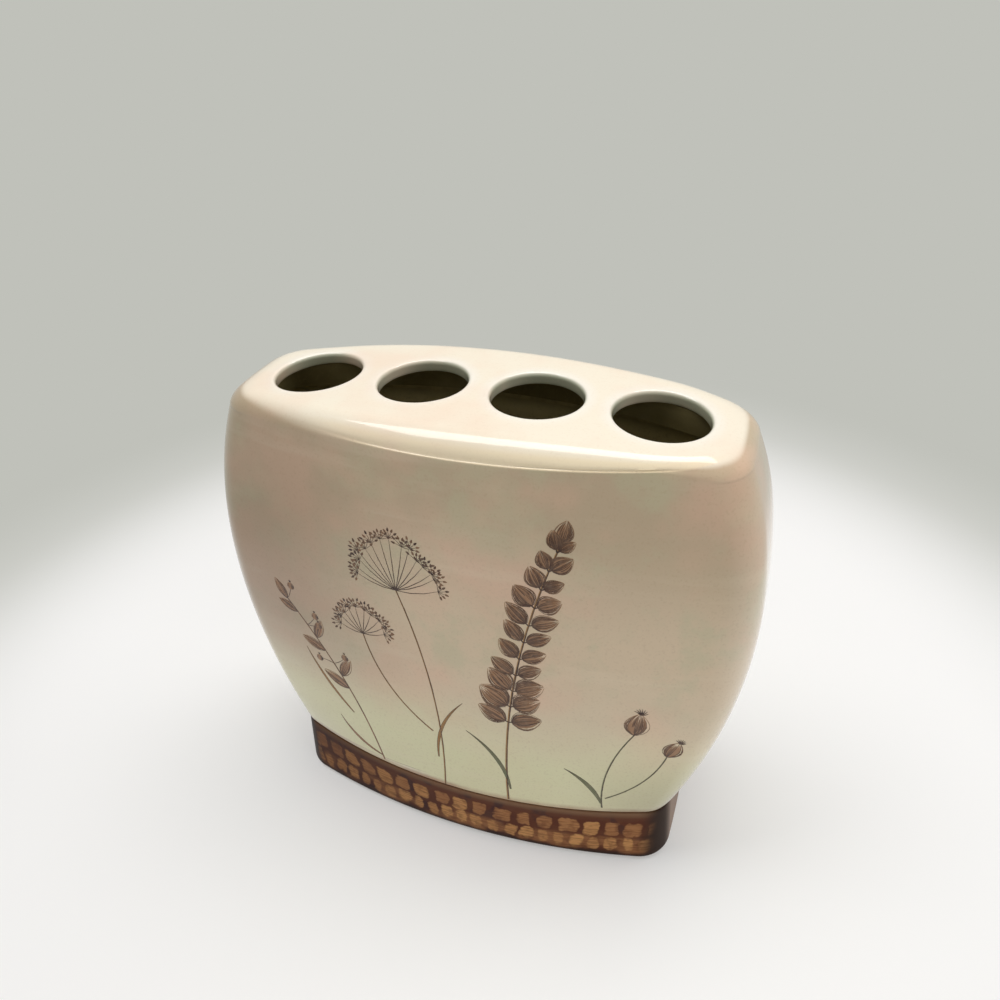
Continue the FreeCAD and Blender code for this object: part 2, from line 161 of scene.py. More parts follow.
class HolderGlaze(bpy.types.PropertyGroup):
    """Colours of the glazes."""

    sage: colour("Sage", "Green tint of the lowest part of the body", "E5E2B8")
    sand: colour("Sand", "Beige of the body above the green", "E1CFB1")
    blush: colour("Blush", "Pinkish beige of the body's middle", "DFC9AA")
    dusk: colour("Dusk", "Greyer beige of the body's upper part", "C9B496")
    moss: colour("Moss", "Greenish grey of the faint clouds above the green", "C9C3A0")
    # Painted shade: this grey is multiplied into the front towards its left end and low at its right end
    shade: colour("Shade", "Grey that darkens the body towards its left end", "CBC8C2")
    cream: colour("Cream", "Cream of the deck", "FAEFDA")
    facet: colour("Facet", "Deeper cream of the facet under the deck's edge", "FFEBC3")
    # Rim is a painted highlight along the crease
    rim: colour("Rim", "Warm white of the fine line along the crease", "FFEBC4")
    # Pale also paints a sheen of light on the body's ends
    pale: colour("Pale", "Almost white cream where the glaze thins over edges", "FBF4E6")
    well: colour("Well", "Grey green of the walls of the brush holes", "B5B79F")
    # Painted shade: the inside darkened just under the deck
    throat_shade: colour("Throat", "Darker olive just under the deck", "6C613D")
    inside: colour("Inside", "Olive brown of the inside", "C9BD92")
    foot_dark: colour("Foot dark", "Deep brown between the foot's patches", "5B2D19")
    foot_deep: colour("Foot deep", "Plum brown in the foot's gaps", "3A1A1C")
    foot_light: colour("Foot light", "Tan of the foot's patches", "D39C62")
    foot_mid: colour("Foot mid", "Reddish brown of the foot's patches", "A26E46")
    foot_band: colour("Foot band", "Greyish brown along the foot's upper edge", "8B6B51")
    foot_end: colour("Foot end", "Near-black brown of the foot's corners and lower edge", "2E1B10")
    # Foot side is the brown of the foot's plain ends, lightened as a painted sheen; it also tints the fine
    # grey line above the foot
    foot_side: colour("Foot side", "Grey brown of the foot's ends", "90796A")
    bisque: colour("Bisque", "Unglazed clay under the foot", "D8C9B0")
    rubber: colour("Rubber", "Grey of the non-slip pads", "55534E")
    bond: colour("Bond", "Olive buff of the bonding compound", "A3966A")


class HolderPrint(bpy.types.PropertyGroup):
    """Colours of the botanical print."""

    ink: colour("Ink", "Dark sepia of the print's lines", "351506")
    wash: colour("Wash", "Light sepia wash inside the leaves", "A87D58")
    ochre: colour("Ochre", "Ochre touches on the stems", "A87B3E")
    leaf: colour("Leaf", "Olive green of the blades", "6F7450")
    lift: measure("Lift", "Thickness of the print above the glaze", 0.03)
    seed: IntProperty(name="Seed", description="Seed of the print's small variations", default=7)


class HolderStage(bpy.types.PropertyGroup):
    """The floor, the backdrop, the lights and the camera."""

    camera_place: measures("Camera place", "Where the camera stands", 52.06, -128.24, 178.01)
    camera_aim: FloatVectorProperty(name="Camera aim", description="Direction in which the camera looks",
                                    size=3, default=(-0.29097, 0.76532, -0.57412), subtype="XYZ")
    camera_roll: FloatProperty(name="Camera roll", description="Roll of the camera about its own axis",
                               default=math.radians(-2.69), subtype="ANGLE")
    camera_lens: FloatProperty(name="Camera lens", description="Focal length in mm on a 36 mm sensor",
                               default=28.42, unit="CAMERA")
    floor_colour: colour("Floor", "Colour of the floor", "F4F3F1")
    wall_colour: colour("Backdrop", "Colour of the backdrop", "C0C1BA")
    paper_reach: measure("Paper reach", "Distance at which the pale floor starts to fade", 125.0)
    paper_glow: FloatProperty(name="Paper glow", description="Share of plain white seen in the floor",
                              default=0.3, min=0.0, max=1.0)
    sky_colour: colour("Sky", "Colour of the even light from all round", "FFFDFA")
    sky_strength: FloatProperty(name="Sky strength", description="Strength of the even light", default=0.24)


def blend(first, second, share):
    return first + (second - first) * share


def blend_all(first, second, share):
    return tuple(blend(a, b, share) for a, b in zip(first, second))


def even_steps(start, finish, count):
    """Evenly spaced values, both ends included."""
    return [blend(start, finish, step / (count - 1)) for step in range(count)]


def quarter_turn(count):
    """Shares of a quarter circle's radius: the way still to go in, and the way gone down."""
    return [(1 - math.sin(turn), 1 - math.cos(turn)) for turn in even_steps(0.0, math.pi / 2, count)]


def smooth_step(low, high, value):
    share = min(max((value - low) / (high - low), 0.0), 1.0)
    return share * share * (3 - 2 * share)


@lru_cache(maxsize=None)
def level_weights(share, count):
    """How much each of the evenly spaced levels counts at a share of the height between them."""
    weights = []
    for level in range(count):
        weight = 1.0
        for other in range(count):
            if other != level:
                weight *= (share * (count - 1) - other) / (level - other)
        weights.append(weight)
    return weights


def through_levels(values, share):
    """The smooth curve through values at evenly spaced levels, at a share of their height."""
    return sum(weight * value for weight, value in zip(level_weights(share, len(values)), values))


# The lens outline

@lru_cache(maxsize=None)
def lens_arcs(half_length, half_depth, end_depth, bulge, corner):
    """The eight arcs of a rounded lens, anticlockwise from the left end of its front.

    Each is a centre, a radius, and the angles between which its outward normal turns.
    """
    rise = half_depth - end_depth
    front_radius = (half_length ** 2 + rise ** 2) / (2 * rise)
    end_radius = (end_depth ** 2 + bulge ** 2) / (2 * bulge)
    front_centre = Vector((0.0, front_radius - half_depth))
    end_centre = Vector((half_length + bulge - end_radius, 0.0))
    gap = end_centre - front_centre
    near = front_radius - corner
    far = end_radius - corner
    along = (near ** 2 - far ** 2 + gap.length_squared) / (2 * gap.length)
    across = math.sqrt(near ** 2 - along ** 2)
    unit = gap.normalized()
    side = Vector((-unit.y, unit.x))
    choices = [front_centre + unit * along + side * across * way for way in (-1, 1)]
    sharp = Vector((half_length, -end_depth))
    corner_centre = min(choices, key=lambda place: (place - sharp).length)
    toward_front = corner_centre - front_centre
    toward_end = corner_centre - end_centre
    spread = math.atan2(toward_front.x, -toward_front.y)
    tilt = -math.atan2(toward_end.y, toward_end.x)
    right = math.pi / 2
    x, y = corner_centre
    first_half = (
        ((0.0, front_centre.y), front_radius, -right - spread, -right + spread),
        ((x, y), corner, -right + spread, -tilt),
        ((end_centre.x, 0.0), end_radius, -tilt, tilt),
        ((x, -y), corner, tilt, right - spread),
    )
    turned = tuple(((-across, -along), radius, start + math.pi, finish + math.pi)
                   for (across, along), radius, start, finish in first_half)
    return first_half + turned


def column_arc(column):
    """The arc that a column lies on, and its share of the way along it."""
    for arc, count in enumerate(ARC_COLUMNS):
        if column < count:
            return arc, column / count
        column -= count
    raise RuntimeError("a column lies on no arc")


COLUMN_ARCS = [column_arc(column) for column in range(COLUMNS)]


def lens_point(sizes, column):
    """A column's point on a lens outline, and its outward normal."""
    arc, share = COLUMN_ARCS[column % COLUMNS]
    centre, radius, start, finish = lens_arcs(*sizes)[arc]
    angle = blend(start, finish, share)
    normal = Vector((math.cos(angle), math.sin(angle)))
    return Vector(centre) + normal * radius, normal


def seat(outline, height):
    return Vector((outline.x, outline.y, height))


def lens_spot(sizes, column, height):
    """A column's place on a lens outline at a height."""
    return seat(lens_point(sizes, column)[0], height)


def inset_sizes(sizes, inset, end_loss=END_LOSS):
    """A lens drawn in evenly: its ends lose less depth than its middle does."""
    half_length, half_depth, end_depth, bulge, corner = sizes
    return (half_length - inset, half_depth - inset, end_depth - inset * end_loss, bulge,
            max(corner - inset * CORNER_LOSS, corner * CORNER_LEAST))


def wall_sizes(height):
    """The body's outer outline at a height."""
    form = bpy.context.scene.holder_form
    share = (height - FOOT_TOP) / (PARTING - FOOT_TOP)
    return (
        through_levels(form.half_lengths, share),
        through_levels(form.half_depths, share),
        through_levels(form.end_depths, share),
        form.end_bulge,
        blend(form.low_corner, form.high_corner, share),
    )


def hollow_sizes(height, inset):
    """An outline inside the body, with corners of its own."""
    half_length, half_depth, end_depth, bulge, _ = wall_sizes(height)
    corner = bpy.context.scene.holder_form.inner_corner
    return half_length - inset, half_depth - inset, end_depth - inset, bulge, corner


def deck_height(x):
    """Height of the arched deck's upper face."""
    form = bpy.context.scene.holder_form
    return DECK_TOP - form.deck_rise * (x / form.half_lengths[-1]) ** 2


def seam_height():
    return PARTING - bpy.context.scene.holder_form.seam


# Modelling

def start_piece():
    if bpy.context.object and bpy.context.object.mode != "OBJECT":
        bpy.ops.object.mode_set(mode="OBJECT")
    bpy.ops.object.select_all(action="DESELECT")


@contextmanager
def edit_mode(selection):
    """Edit mode on the active piece, with all of it selected or none."""
    bpy.ops.object.mode_set(mode="EDIT")
    bpy.ops.mesh.select_all(action=selection)
    yield
    bpy.ops.object.mode_set(mode="OBJECT")


def sleeve(name, rows, place):
    """A wall of rings: a circle is extruded a row at a time, then shaped column by column.

    place(row, column) gives each vertex its place. Returns the piece and each vertex's row and column.
    """
    start_piece()
    bpy.ops.mesh.primitive_circle_add(vertices=COLUMNS, radius=1.0)
    piece = bpy.context.object
    piece.name = name
    piece.data.name = name
    with edit_mode("SELECT"):
        for _ in range(rows - 1):
            bpy.ops.mesh.extrude_edges_move(TRANSFORM_OT_translate={"value": (0.0, 0.0, 1.0)})
    cells = []
    for vertex in piece.data.vertices:
        turn = math.atan2(vertex.co.y, vertex.co.x) / math.tau
        row, column = round(vertex.co.z), round(turn * COLUMNS) % COLUMNS
        cells.append((row, column))
        vertex.co = place(row, column)
    return piece, cells


def stack_rings(name, profile):
    """A wall from rows of a height and a lens outline each."""
    return sleeve(name, len(profile), lambda row, column: lens_spot(profile[row][1], column, profile[row][0]))


def join_open_rings():
    """Bridges the two open rings of the active piece, so that it closes on itself."""
    with edit_mode("DESELECT"):
        bpy.ops.mesh.select_mode(type="EDGE")
        bpy.ops.mesh.select_non_manifold()
        bpy.ops.mesh.bridge_edge_loops()


def fill_open_ring(piece, cells, row):
    """Closes an open ring with a flat face."""
    with edit_mode("DESELECT"):
        bpy.ops.mesh.select_mode(type="VERT")
    for vertex, (vertex_row, _) in zip(piece.data.vertices, cells):
        vertex.select = vertex_row == row
    bpy.ops.object.mode_set(mode="EDIT")
    bpy.ops.mesh.edge_face_add()
    bpy.ops.object.mode_set(mode="OBJECT")


def finish_surface():
    """Points every face of the active piece outwards and shades it smoothly, but for sharp edges."""
    with edit_mode("SELECT"):
        bpy.ops.mesh.normals_make_consistent(inside=False)
    bpy.ops.object.shade_smooth_by_angle(angle=SMOOTH_ANGLE)


def faces_within(piece, is_inner):
    """The faces whose corners are all inner ones."""
    return {face.index for face in piece.data.polygons if all(is_inner(index) for index in face.vertices)}


def dress(piece, slot, *nodes):
    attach(piece, "root")
    if nodes:
        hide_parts(*nodes)


def around_shares(sizes):
    """Each column's share of the way round an outline."""
    points = [lens_point(sizes, column)[0] for column in range(COLUMNS + 1)]
    totals = [0.0]
    for first, second in zip(points, points[1:]):
        totals.append(totals[-1] + (second - first).length)
    return [total / totals[-1] for total in totals]


def wrap_map(piece, cells, sizes, rows):
    """A UV map named wrap: round the piece from left to right, and up its rows."""
    shares = around_shares(sizes)
    layer = piece.data.uv_layers.new(name="wrap")
    for face in piece.data.polygons:
        corners = [(loop, *cells[piece.data.loops[loop].vertex_index]) for loop in face.loop_indices]
        columns = [column for _, _, column in corners]
        crosses = len(corners) == 4 and max(columns) - min(columns) > COLUMNS / 2
        for loop, row, column in corners:
            if crosses and column < COLUMNS / 2:
                column += COLUMNS
            layer.data[loop].uv = (shares[column], row / (rows - 1))


# Body

BODY_ROWS = 66
INNER_ROWS = 22
CURL_ROWS = 6
CURL_HEIGHT = 1.6


def body_profile():
    """Heights and outlines of the body's rows, up its outer face and down its inner one."""
    form = bpy.context.scene.holder_form
    outer = [(FOOT_TOP + form.curl * CURL_HEIGHT * down, form.curl * inward)
             for inward, down in quarter_turn(CURL_ROWS)]
    outer += [(height, 0.0) for height in even_steps(outer[-1][0], seam_height(), BODY_ROWS)[1:]]
    profile = [(height, inset_sizes(wall_sizes(height), inset)) for height, inset in outer]
    for height in even_steps(seam_height(), FOOT_TOP, INNER_ROWS):
        profile.append((height, hollow_sizes(height, form.wall)))
    return profile


def model_body():
    profile = body_profile()
    piece, cells = stack_rings("holder_body", profile)
    join_open_rings()
    finish_surface()
    first_inner = len(profile) - INNER_ROWS
    return piece, faces_within(piece, lambda index: cells[index][0] >= first_inner or cells[index][0] == 0)


# Deck

WALL_ROWS = 4
CREASE_ROWS = 6
LEDGE_SLOPE = 0.4
FACET_ROWS = 4
ROLL_ROWS = 10
ROLL_SHARE = 0.85
SOFT_LEFT = (12 * MM, 42 * MM)
SOFT_RIGHT = (36 * MM, 50 * MM)
SPIGOT_ROWS = 4
LINE_STEPS = 20
TOP_SHARES = (0.80, 0.58, 0.38, 0.22, 0.09, 0.0)
UNDER_SHARES = (0.2, 0.5)
LIP_ROWS = 7
HOLE_ROWS = 4
UNDERSIDE_SHARE = 0.85


def round_corner(start, corner, finish, turn, count):
    """Points on the rounding of a corner, close to a circle where both sides are alike."""
    weight = math.cos(turn / 2)
    points = []
    for share in even_steps(0.0, 1.0, count):
        first = (1 - share) ** 2
        middle = 2 * weight * share * (1 - share)
        last = share ** 2
        total = first + middle + last
        points.append(tuple((first * a + middle * b + last * c) / total
                            for a, b, c in zip(start, corner, finish)))
    return points


def wall_lean(column, height, normal):
    """How far the body's wall leans in at a height."""
    spot = lens_point(wall_sizes(height), column)[0]
    below = lens_point(wall_sizes(height - MM), column)[0]
    return math.atan2((below - spot).dot(normal), MM)


def crisp_shoulder(crease, lean, on_deck):
    """Insets and heights over the crease's ledge, up the facet and over the roll onto the deck."""
    form = bpy.context.scene.holder_form
    ledge = form.crease_ledge
    ledge_start = (-ledge / 2 * math.sin(lean), crease - ledge / 2 * math.cos(lean))
    ledge_end = (ledge, crease + ledge * LEDGE_SLOPE)
    ledge_turn = math.atan2(1.0, LEDGE_SLOPE) - lean

    tilt = form.facet_tilt
    turn = math.pi / 2 - tilt
    top_inset = (on_deck(0.0) - crease) * math.tan(tilt)
    top = (top_inset, on_deck(top_inset))
    reach = min(form.roll_radius * math.tan(turn / 2), math.hypot(top_inset, top[1] - crease) * ROLL_SHARE)
    roll_start = (top_inset - reach * math.sin(tilt), top[1] - reach * math.cos(tilt))
    roll_end_inset = top_inset + form.roll_radius * math.tan(turn / 2)
    roll_end = (roll_end_inset, on_deck(roll_end_inset))

    rows = round_corner(ledge_start, (0.0, crease), ledge_end, ledge_turn, CREASE_ROWS)
    for share in even_steps(0.0, 1.0, FACET_ROWS)[1:-1]:
        rows.append(blend_all(ledge_end, roll_start, share))
    return rows + round_corner(roll_start, top, roll_end, turn, ROLL_ROWS)


def soft_shoulder(low, swell, lean, on_deck, count):
    """Insets and heights of one broad roll from the wall onto the deck."""
    edge = on_deck(0.0)
    top_inset = swell + (edge - low) * math.tan(lean)
    end_inset = top_inset + bpy.context.scene.holder_form.soft_roll
    return round_corner((swell, low), (top_inset, edge), (end_inset, on_deck(end_inset)),
                        math.pi / 2 - lean, count)


def shoulder_profile(column):
    """A column's points from the seam up over the crease, the facet and the roll onto the deck.

    Towards the left and round the ends, the crease and the facet give way to one broad roll.
    """
    form = bpy.context.scene.holder_form
    outline, normal = lens_point(wall_sizes(PARTING), column)
    crease = PARTING + form.crease_rise * min(abs(outline.x) / form.crease_reach, 1.0) ** 2
    sizes = wall_sizes(crease)

    def on_deck(inset):
        return deck_height(lens_point(inset_sizes(sizes, inset), column)[0].x)

    crisp = crisp_shoulder(crease, wall_lean(column, crease, normal), on_deck)
    low = seam_height() + form.seam / 4
    swell = (lens_point(sizes, column)[0] - lens_point(wall_sizes(low), column)[0]).dot(normal)
    soft = soft_shoulder(low, swell, wall_lean(column, low, normal), on_deck, len(crisp))
    softness = max(smooth_step(*SOFT_LEFT, -outline.x), smooth_step(*SOFT_RIGHT, outline.x))
    rows = [blend_all(sharp, broad, softness) for sharp, broad in zip(crisp, soft)]

    heights = even_steps(seam_height(), rows[0][1], WALL_ROWS)[:-1]
    points = [lens_spot(wall_sizes(height), column, height) for height in heights]
    return points + [lens_spot(inset_sizes(sizes, inset), column, height) for inset, height in rows]


def deck_inside(column):
    """A column's points from the deck's underside down round the spigot and out to the seam."""
    form = bpy.context.scene.holder_form
    bore = form.spigot_inset + form.spigot_wall
    inner = lens_point(hollow_sizes(PARTING, bore), column)[0]
    outer = lens_point(hollow_sizes(PARTING, form.spigot_inset), column)[0]
    under = deck_height(inner.x) - form.deck_thickness
    points = [seat(inner, height) for height in even_steps(under, SPIGOT_FOOT, SPIGOT_ROWS)]
    return points + [seat(outer, height) for height in (SPIGOT_FOOT, seam_height())]


def hole_centre(index):
    return Vector(((index - (HOLE_COUNT - 1) / 2) * bpy.context.scene.holder_form.hole_pitch, 0.0))


def patch_loop(index):
    """The border of the patch round a hole: ring columns and steps of the lines between holes."""
    start = index * HOLE_COLUMNS
    finish = start + HOLE_COLUMNS
    mirror = BACK_START + FRONT_COLUMNS
    border = [("ring", column) for column in range(start, finish + 1)]
    if index < HOLE_COUNT - 1:
        border += [("line", index, step) for step in range(1, LINE_STEPS)]
    else:
        border += [("ring", column) for column in range(finish + 1, BACK_START)]
    border += [("ring", column) for column in range(mirror - finish, mirror - start + 1)]
    if index > 0:
        border += [("line", index - 1, step) for step in range(LINE_STEPS - 1, 0, -1)]
    else:
        border += [("ring", column) for column in range(mirror + 1, COLUMNS)]
    return border


def hole_path(edge, under_edge, centre):
    """Points from a patch's border over the hole's lip, down its wall and out along the underside."""
    form = bpy.context.scene.holder_form
    radius = form.hole_radius
    lip = form.lip_radius
    low_lip = lip / 2
    thick = form.deck_thickness
    away = (Vector(edge.xy) - centre).normalized()
    under_away = (Vector(under_edge.xy) - centre).normalized()
    path = []

    def add(spot, drop):
        path.append(seat(spot, deck_height(spot.x) - drop))

    rim = centre + away * (radius + lip)
    for share in TOP_SHARES:
        add(rim.lerp(Vector(edge.xy), share), 0.0)
    for inward, down in quarter_turn(LIP_ROWS)[1:]:
        add(centre + away * (radius + lip * inward), lip * down)
    for drop in even_steps(lip, thick - low_lip, HOLE_ROWS)[1:]:
        add(centre + away * radius, drop)
    for inward, down in quarter_turn(HOLE_ROWS)[1:]:
        add(centre + away * (radius + low_lip * down), thick - low_lip * inward)
    low_rim = centre + under_away.lerp(away, 0.5).normalized() * (radius + low_lip)
    for share in UNDER_SHARES:
        add(low_rim.lerp(Vector(under_edge.xy), share), thick)
    return path


def pierce_deck(piece, cells, top_row):
    """Fills the deck's upper and lower faces round the brush holes, and gives each hole its wall."""
    thickness = bpy.context.scene.holder_form.deck_thickness
    mesh = bmesh.new()
    mesh.from_mesh(piece.data)
    mesh.verts.ensure_lookup_table()
    place = {cell: mesh.verts[index] for index, cell in enumerate(cells)}
    lines = {}
    for line in range(HOLE_COUNT - 1):
        front = (line + 1) * HOLE_COLUMNS
        back = BACK_START + FRONT_COLUMNS - front
        for row, lower in ((top_row, 0.0), (0, thickness)):
            ends = place[(row, front)].co, place[(row, back)].co
            for step in range(1, LINE_STEPS):
                spot = ends[0].lerp(ends[1], step / LINE_STEPS)
                spot.z = deck_height(spot.x) - lower
                lines[(row, line, step)] = mesh.verts.new(spot)

    def border_vertex(row, stop):
        if stop[0] == "ring":
            return place[(row, stop[1] % COLUMNS)]
        return lines[(row, stop[1], stop[2])]

    for hole in range(HOLE_COUNT):
        strips = []
        for stop in patch_loop(hole):
            upper = border_vertex(top_row, stop)
            lower = border_vertex(0, stop)
            path = hole_path(upper.co, lower.co, hole_centre(hole))
            strips.append([upper] + [mesh.verts.new(spot) for spot in path] + [lower])
        for strip, following in zip(strips, strips[1:] + strips[:1]):
            for step in range(len(strip) - 1):
                mesh.faces.new((strip[step], following[step], following[step + 1], strip[step + 1]))
    mesh.to_mesh(piece.data)
    mesh.free()


def model_deck():
    columns = [deck_inside(column) + shoulder_profile(column) for column in range(COLUMNS)]
    rows = len(columns[0])
    piece, cells = sleeve("holder_deck", rows, lambda row, column: columns[column][row])
    pierce_deck(piece, cells, rows - 1)
    finish_surface()
    inner_rows = len(deck_inside(0))
    thickness = bpy.context.scene.holder_form.deck_thickness

    def is_inner(index):
        if index < len(cells):
            return cells[index][0] < inner_rows
        spot = piece.data.vertices[index].co
        return spot.z < deck_height(spot.x) - thickness * UNDERSIDE_SHARE

    return piece, faces_within(piece, is_inner)


# Foot

FOOT_ROWS = 16
FOOT_LIP_ROWS = 5
FOOT_EDGE_ROWS = 7
COLLAR_ROW = 3
COLLAR_SLACK = 0.1


def foot_profile():
    """Heights and outlines of the foot's rows, from the well's floor over the collar to the recess."""
    form = bpy.context.scene.holder_form
    base = wall_sizes(FOOT_TOP)
    low = (*form.foot_sizes, form.end_bulge, form.foot_corner)
    collar = hollow_sizes(FOOT_TOP, form.spigot_inset)
    collar_rim = (collar[0], collar[1] - COLLAR_SLACK * form.spigot_inset, *collar[2:])
    well = inset_sizes(collar_rim, form.collar_wall, 1.0)
    floor = FOOT_UNDERSIDE + form.recess + form.floor
    lip, edge = form.foot_lip, form.foot_edge
    outer = [(FOOT_TOP - lip * down, lip * inward) for inward, down in quarter_turn(FOOT_LIP_ROWS)]
    outer += [(height, 0.0) for height in even_steps(FOOT_TOP - lip, FOOT_UNDERSIDE + edge, FOOT_ROWS)[1:-1]]
    outer += [(FOOT_UNDERSIDE + edge * inward, edge * down) for inward, down in quarter_turn(FOOT_EDGE_ROWS)]
    profile = [(floor, well), (COLLAR_TOP, well), (COLLAR_TOP, collar_rim), (FOOT_TOP, collar)]
    for height, inset in outer:
        share = (height - FOOT_UNDERSIDE) / (FOOT_TOP - FOOT_UNDERSIDE)
        profile.append((height, inset_sizes(blend_all(low, base, share), inset)))
    ring = inset_sizes(low, form.foot_ring)
    return profile + [(FOOT_UNDERSIDE, ring), (FOOT_UNDERSIDE + form.recess, ring)]


def model_foot():
    profile = foot_profile()
    piece, cells = stack_rings("holder_foot", profile)
    for row in (0, len(profile) - 1):
        fill_open_ring(piece, cells, row)
    wrap_map(piece, cells, wall_sizes(FOOT_TOP), len(profile))
    finish_surface()
    return piece, faces_within(piece, lambda index: cells[index][0] <= COLLAR_ROW)


# Print

STEM_POINTS = 14
STEM_TAPER = (1.15, 0.65)
SHADE_ASIDE = 0.09
HAIR_TAPER = (0.7, 1.0, 0.75, 0.2)
LEAF_STEPS = 5
LEAF_EDGE_STEPS = 8
WASHES = 6
WASH_TAPER = (0.2, 0.9, 1.0, 0.7, 0.1)
STROKE_TAPER = (0.8, 1.0, 0.9, 0.6, 0.2)
STROKE_WIDTHS = (0.09, 0.20)
EDGE_WIDTH = 0.10 * MM
VEIN_WIDTH = 0.11 * MM
BERRY_STROKES = 9


def front_spot(x, height, lift):
    """The point of the front wall at a distance from the middle and a height, lifted off the glaze."""
    half_length, half_depth, end_depth, _, _ = wall_sizes(height)
    rise = half_depth - end_depth
    radius = (half_length ** 2 + rise ** 2) / (2 * rise)
    turn = math.asin(x / radius)
    normal = Vector((math.sin(turn), -math.cos(turn), 0.0))
    return Vector((0.0, radius - half_depth, height)) + normal * (radius + lift)


def chart(x, height):
    """A place on the front wall, from millimetres right of the middle and above the table."""
    return Vector((x, height)) * MM


def heading(angle):
    return Vector((math.sin(angle), math.cos(angle)))


def bent_path(start, finish, bow, count):
    """A line from start to finish that bows to its right by a share of its length."""
    across = Vector((finish.y - start.y, start.x - finish.x))
    middle = (start + finish) / 2 + across * bow * 2
    path = []
    for share in even_steps(0.0, 1.0, count):
        path.append(start * (1 - share) ** 2 + middle * 2 * share * (1 - share) + finish * share ** 2)
    return path


def direction_at(path, index):
    """The way a path runs at one of its points."""
    return path[min(index + 1, len(path) - 1)] - path[max(index - 1, 0)]


class PrintSheet:
    """The strokes of the print, drawn on the front wall's width and height."""

    def __init__(self, settings):
        self.settings = settings
        self.dice = random.Random(settings.seed)
        self.mesh = bmesh.new()
        self.tints = self.mesh.verts.layers.float_color.new("ink")

    def draw(self, path, widths, tint, layer=1, far_tint=None):
        """A flat ribbon along a path, with an even tint or one that changes on the way."""
        rails = []
        lift = self.settings.lift * layer / 2
        last = len(path) - 1
        for index, (spot, width) in enumerate(zip(path, widths)):
            along = direction_at(path, index)
            across = Vector((-along.y, along.x)).normalized() * width / 2
            rail = [self.mesh.verts.new(front_spot(*(spot + side), lift)) for side in (across, -across)]
            for vertex in rail:
                vertex[self.tints] = blend_all(tint, far_tint or tint, index / last)
            rails.append(rail)
        for (left, right), (far_left, far_right) in zip(rails, rails[1:]):
            self.mesh.faces.new((left, right, far_right, far_left))

    def hair(self, start, finish, bow, width, tint):
        """A short stroke that swells and ends in a point."""
        path = bent_path(start, finish, bow, len(HAIR_TAPER))
        self.draw(path, [width * share for share in HAIR_TAPER], tint, 2)

    def stem(self, start, finish, bow, width, tint):
        """A stalk: a tinted stroke with dark strokes of changing width along its right side."""
        path = bent_path(start, finish, bow, STEM_POINTS)
        self.draw(path, [width * share for share in even_steps(*STEM_TAPER, STEM_POINTS)], tint)
        for step in range(STEM_POINTS - 1):
            piece = [spot + chart(SHADE_ASIDE, 0.0) for spot in path[step:step + 2]]
            shade = blend_all(self.settings.ink, tint, self.dice.uniform(0.0, 0.3))
            self.draw(piece, [width * self.dice.uniform(0.4, 0.75) for _ in piece], shade, 2)
        return path

    def leaf(self, base, angle, length, breadth, strokes, fullness=0.8):
        """A leaf of fine strokes that fan from its base, over a lighter wash."""
        along = heading(angle) * length
        side = Vector((along.y, -along.x)).normalized() * breadth / 2
        ink, wash = self.settings.ink, self.settings.wash
        dice = self.dice

        def spot(share, reach):
            swell = math.sin(math.pi * share ** fullness) ** 0.8 if 0 < share < 1 else 0.0
            return base + along * share + side * reach * swell

        def sweep(reach, first, last, count=LEAF_STEPS):
            return [spot(share, reach) for share in even_steps(first, last, count)]

        for index in range(WASHES):
            path = sweep(1.5 * ((index + 0.5) / WASHES - 0.5), 0.03, dice.uniform(0.8, 0.95))
            tint = blend_all(wash, ink, dice.uniform(0.1, 0.35))
            self.draw(path, [breadth / WASHES * share * 0.8 for share in WASH_TAPER], tint, 1, wash)
        for _ in range(strokes):
            reach = dice.uniform(-1.0, 1.0)
            first = dice.choice((0.0, 0.0, dice.uniform(0.1, 0.5)))
            last = dice.uniform(max(first + 0.3, 0.6), 1.0)
            width = dice.uniform(*STROKE_WIDTHS) * MM
            near = blend_all(ink, wash, dice.uniform(0.0, 0.2))
            far = blend_all(ink, wash, dice.uniform(0.1, 0.7))
            path = sweep(reach, first, min(last, 0.99))
            self.draw(path, [width * share for share in STROKE_TAPER], near, 2, far)
        for reach in (-1.0, 1.0):
            self.draw(sweep(reach, 0.02, 0.98, LEAF_EDGE_STEPS), [EDGE_WIDTH] * LEAF_EDGE_STEPS, ink, 2, wash)

    def blade(self, start, finish, bow, width, tint):
        """A long slender blade with dark edges and a fainter vein between them."""
        path = bent_path(start, finish, bow, STEM_POINTS)
        swell = [math.sin(math.pi * share) for share in even_steps(0.12, 1.0, STEM_POINTS)]
        self.draw(path, [max(width * share, 0.05 * MM) for share in swell], tint)
        for offset, faintness in ((-0.42, 0.25), (0.05, 0.6), (0.42, 0.25)):
            line = []
            for step, spot in enumerate(path):
                along = direction_at(path, step)
                across = Vector((along.y, -along.x)).normalized()
                line.append(spot + across * width * offset * swell[step])
            self.draw(line, [VEIN_WIDTH] * STEM_POINTS, blend_all(self.settings.ink, tint, faintness), 2)

    def berry(self, centre, radius):
        """A small round berry of curved strokes, with a dark crown."""
        for index in range(BERRY_STROKES):
            reach = (index - BERRY_STROKES // 2) / 4.4
            across = Vector((reach * radius, 0.0))
            tall = Vector((0.0, math.sqrt(1 - reach ** 2) * radius))
            shade = blend_all(self.settings.wash, self.settings.ink, abs(reach + 0.25) * 0.9)
            self.hair(centre + across - tall, centre + across + tall, -reach * 0.2, radius * 0.34, shade)
        for turn in (-0.5, 0.0, 0.5):
            top = centre + Vector((0.0, radius))
            self.hair(top, top + heading(turn) * radius * 0.7, 0.0, 0.14 * MM, self.settings.ink)


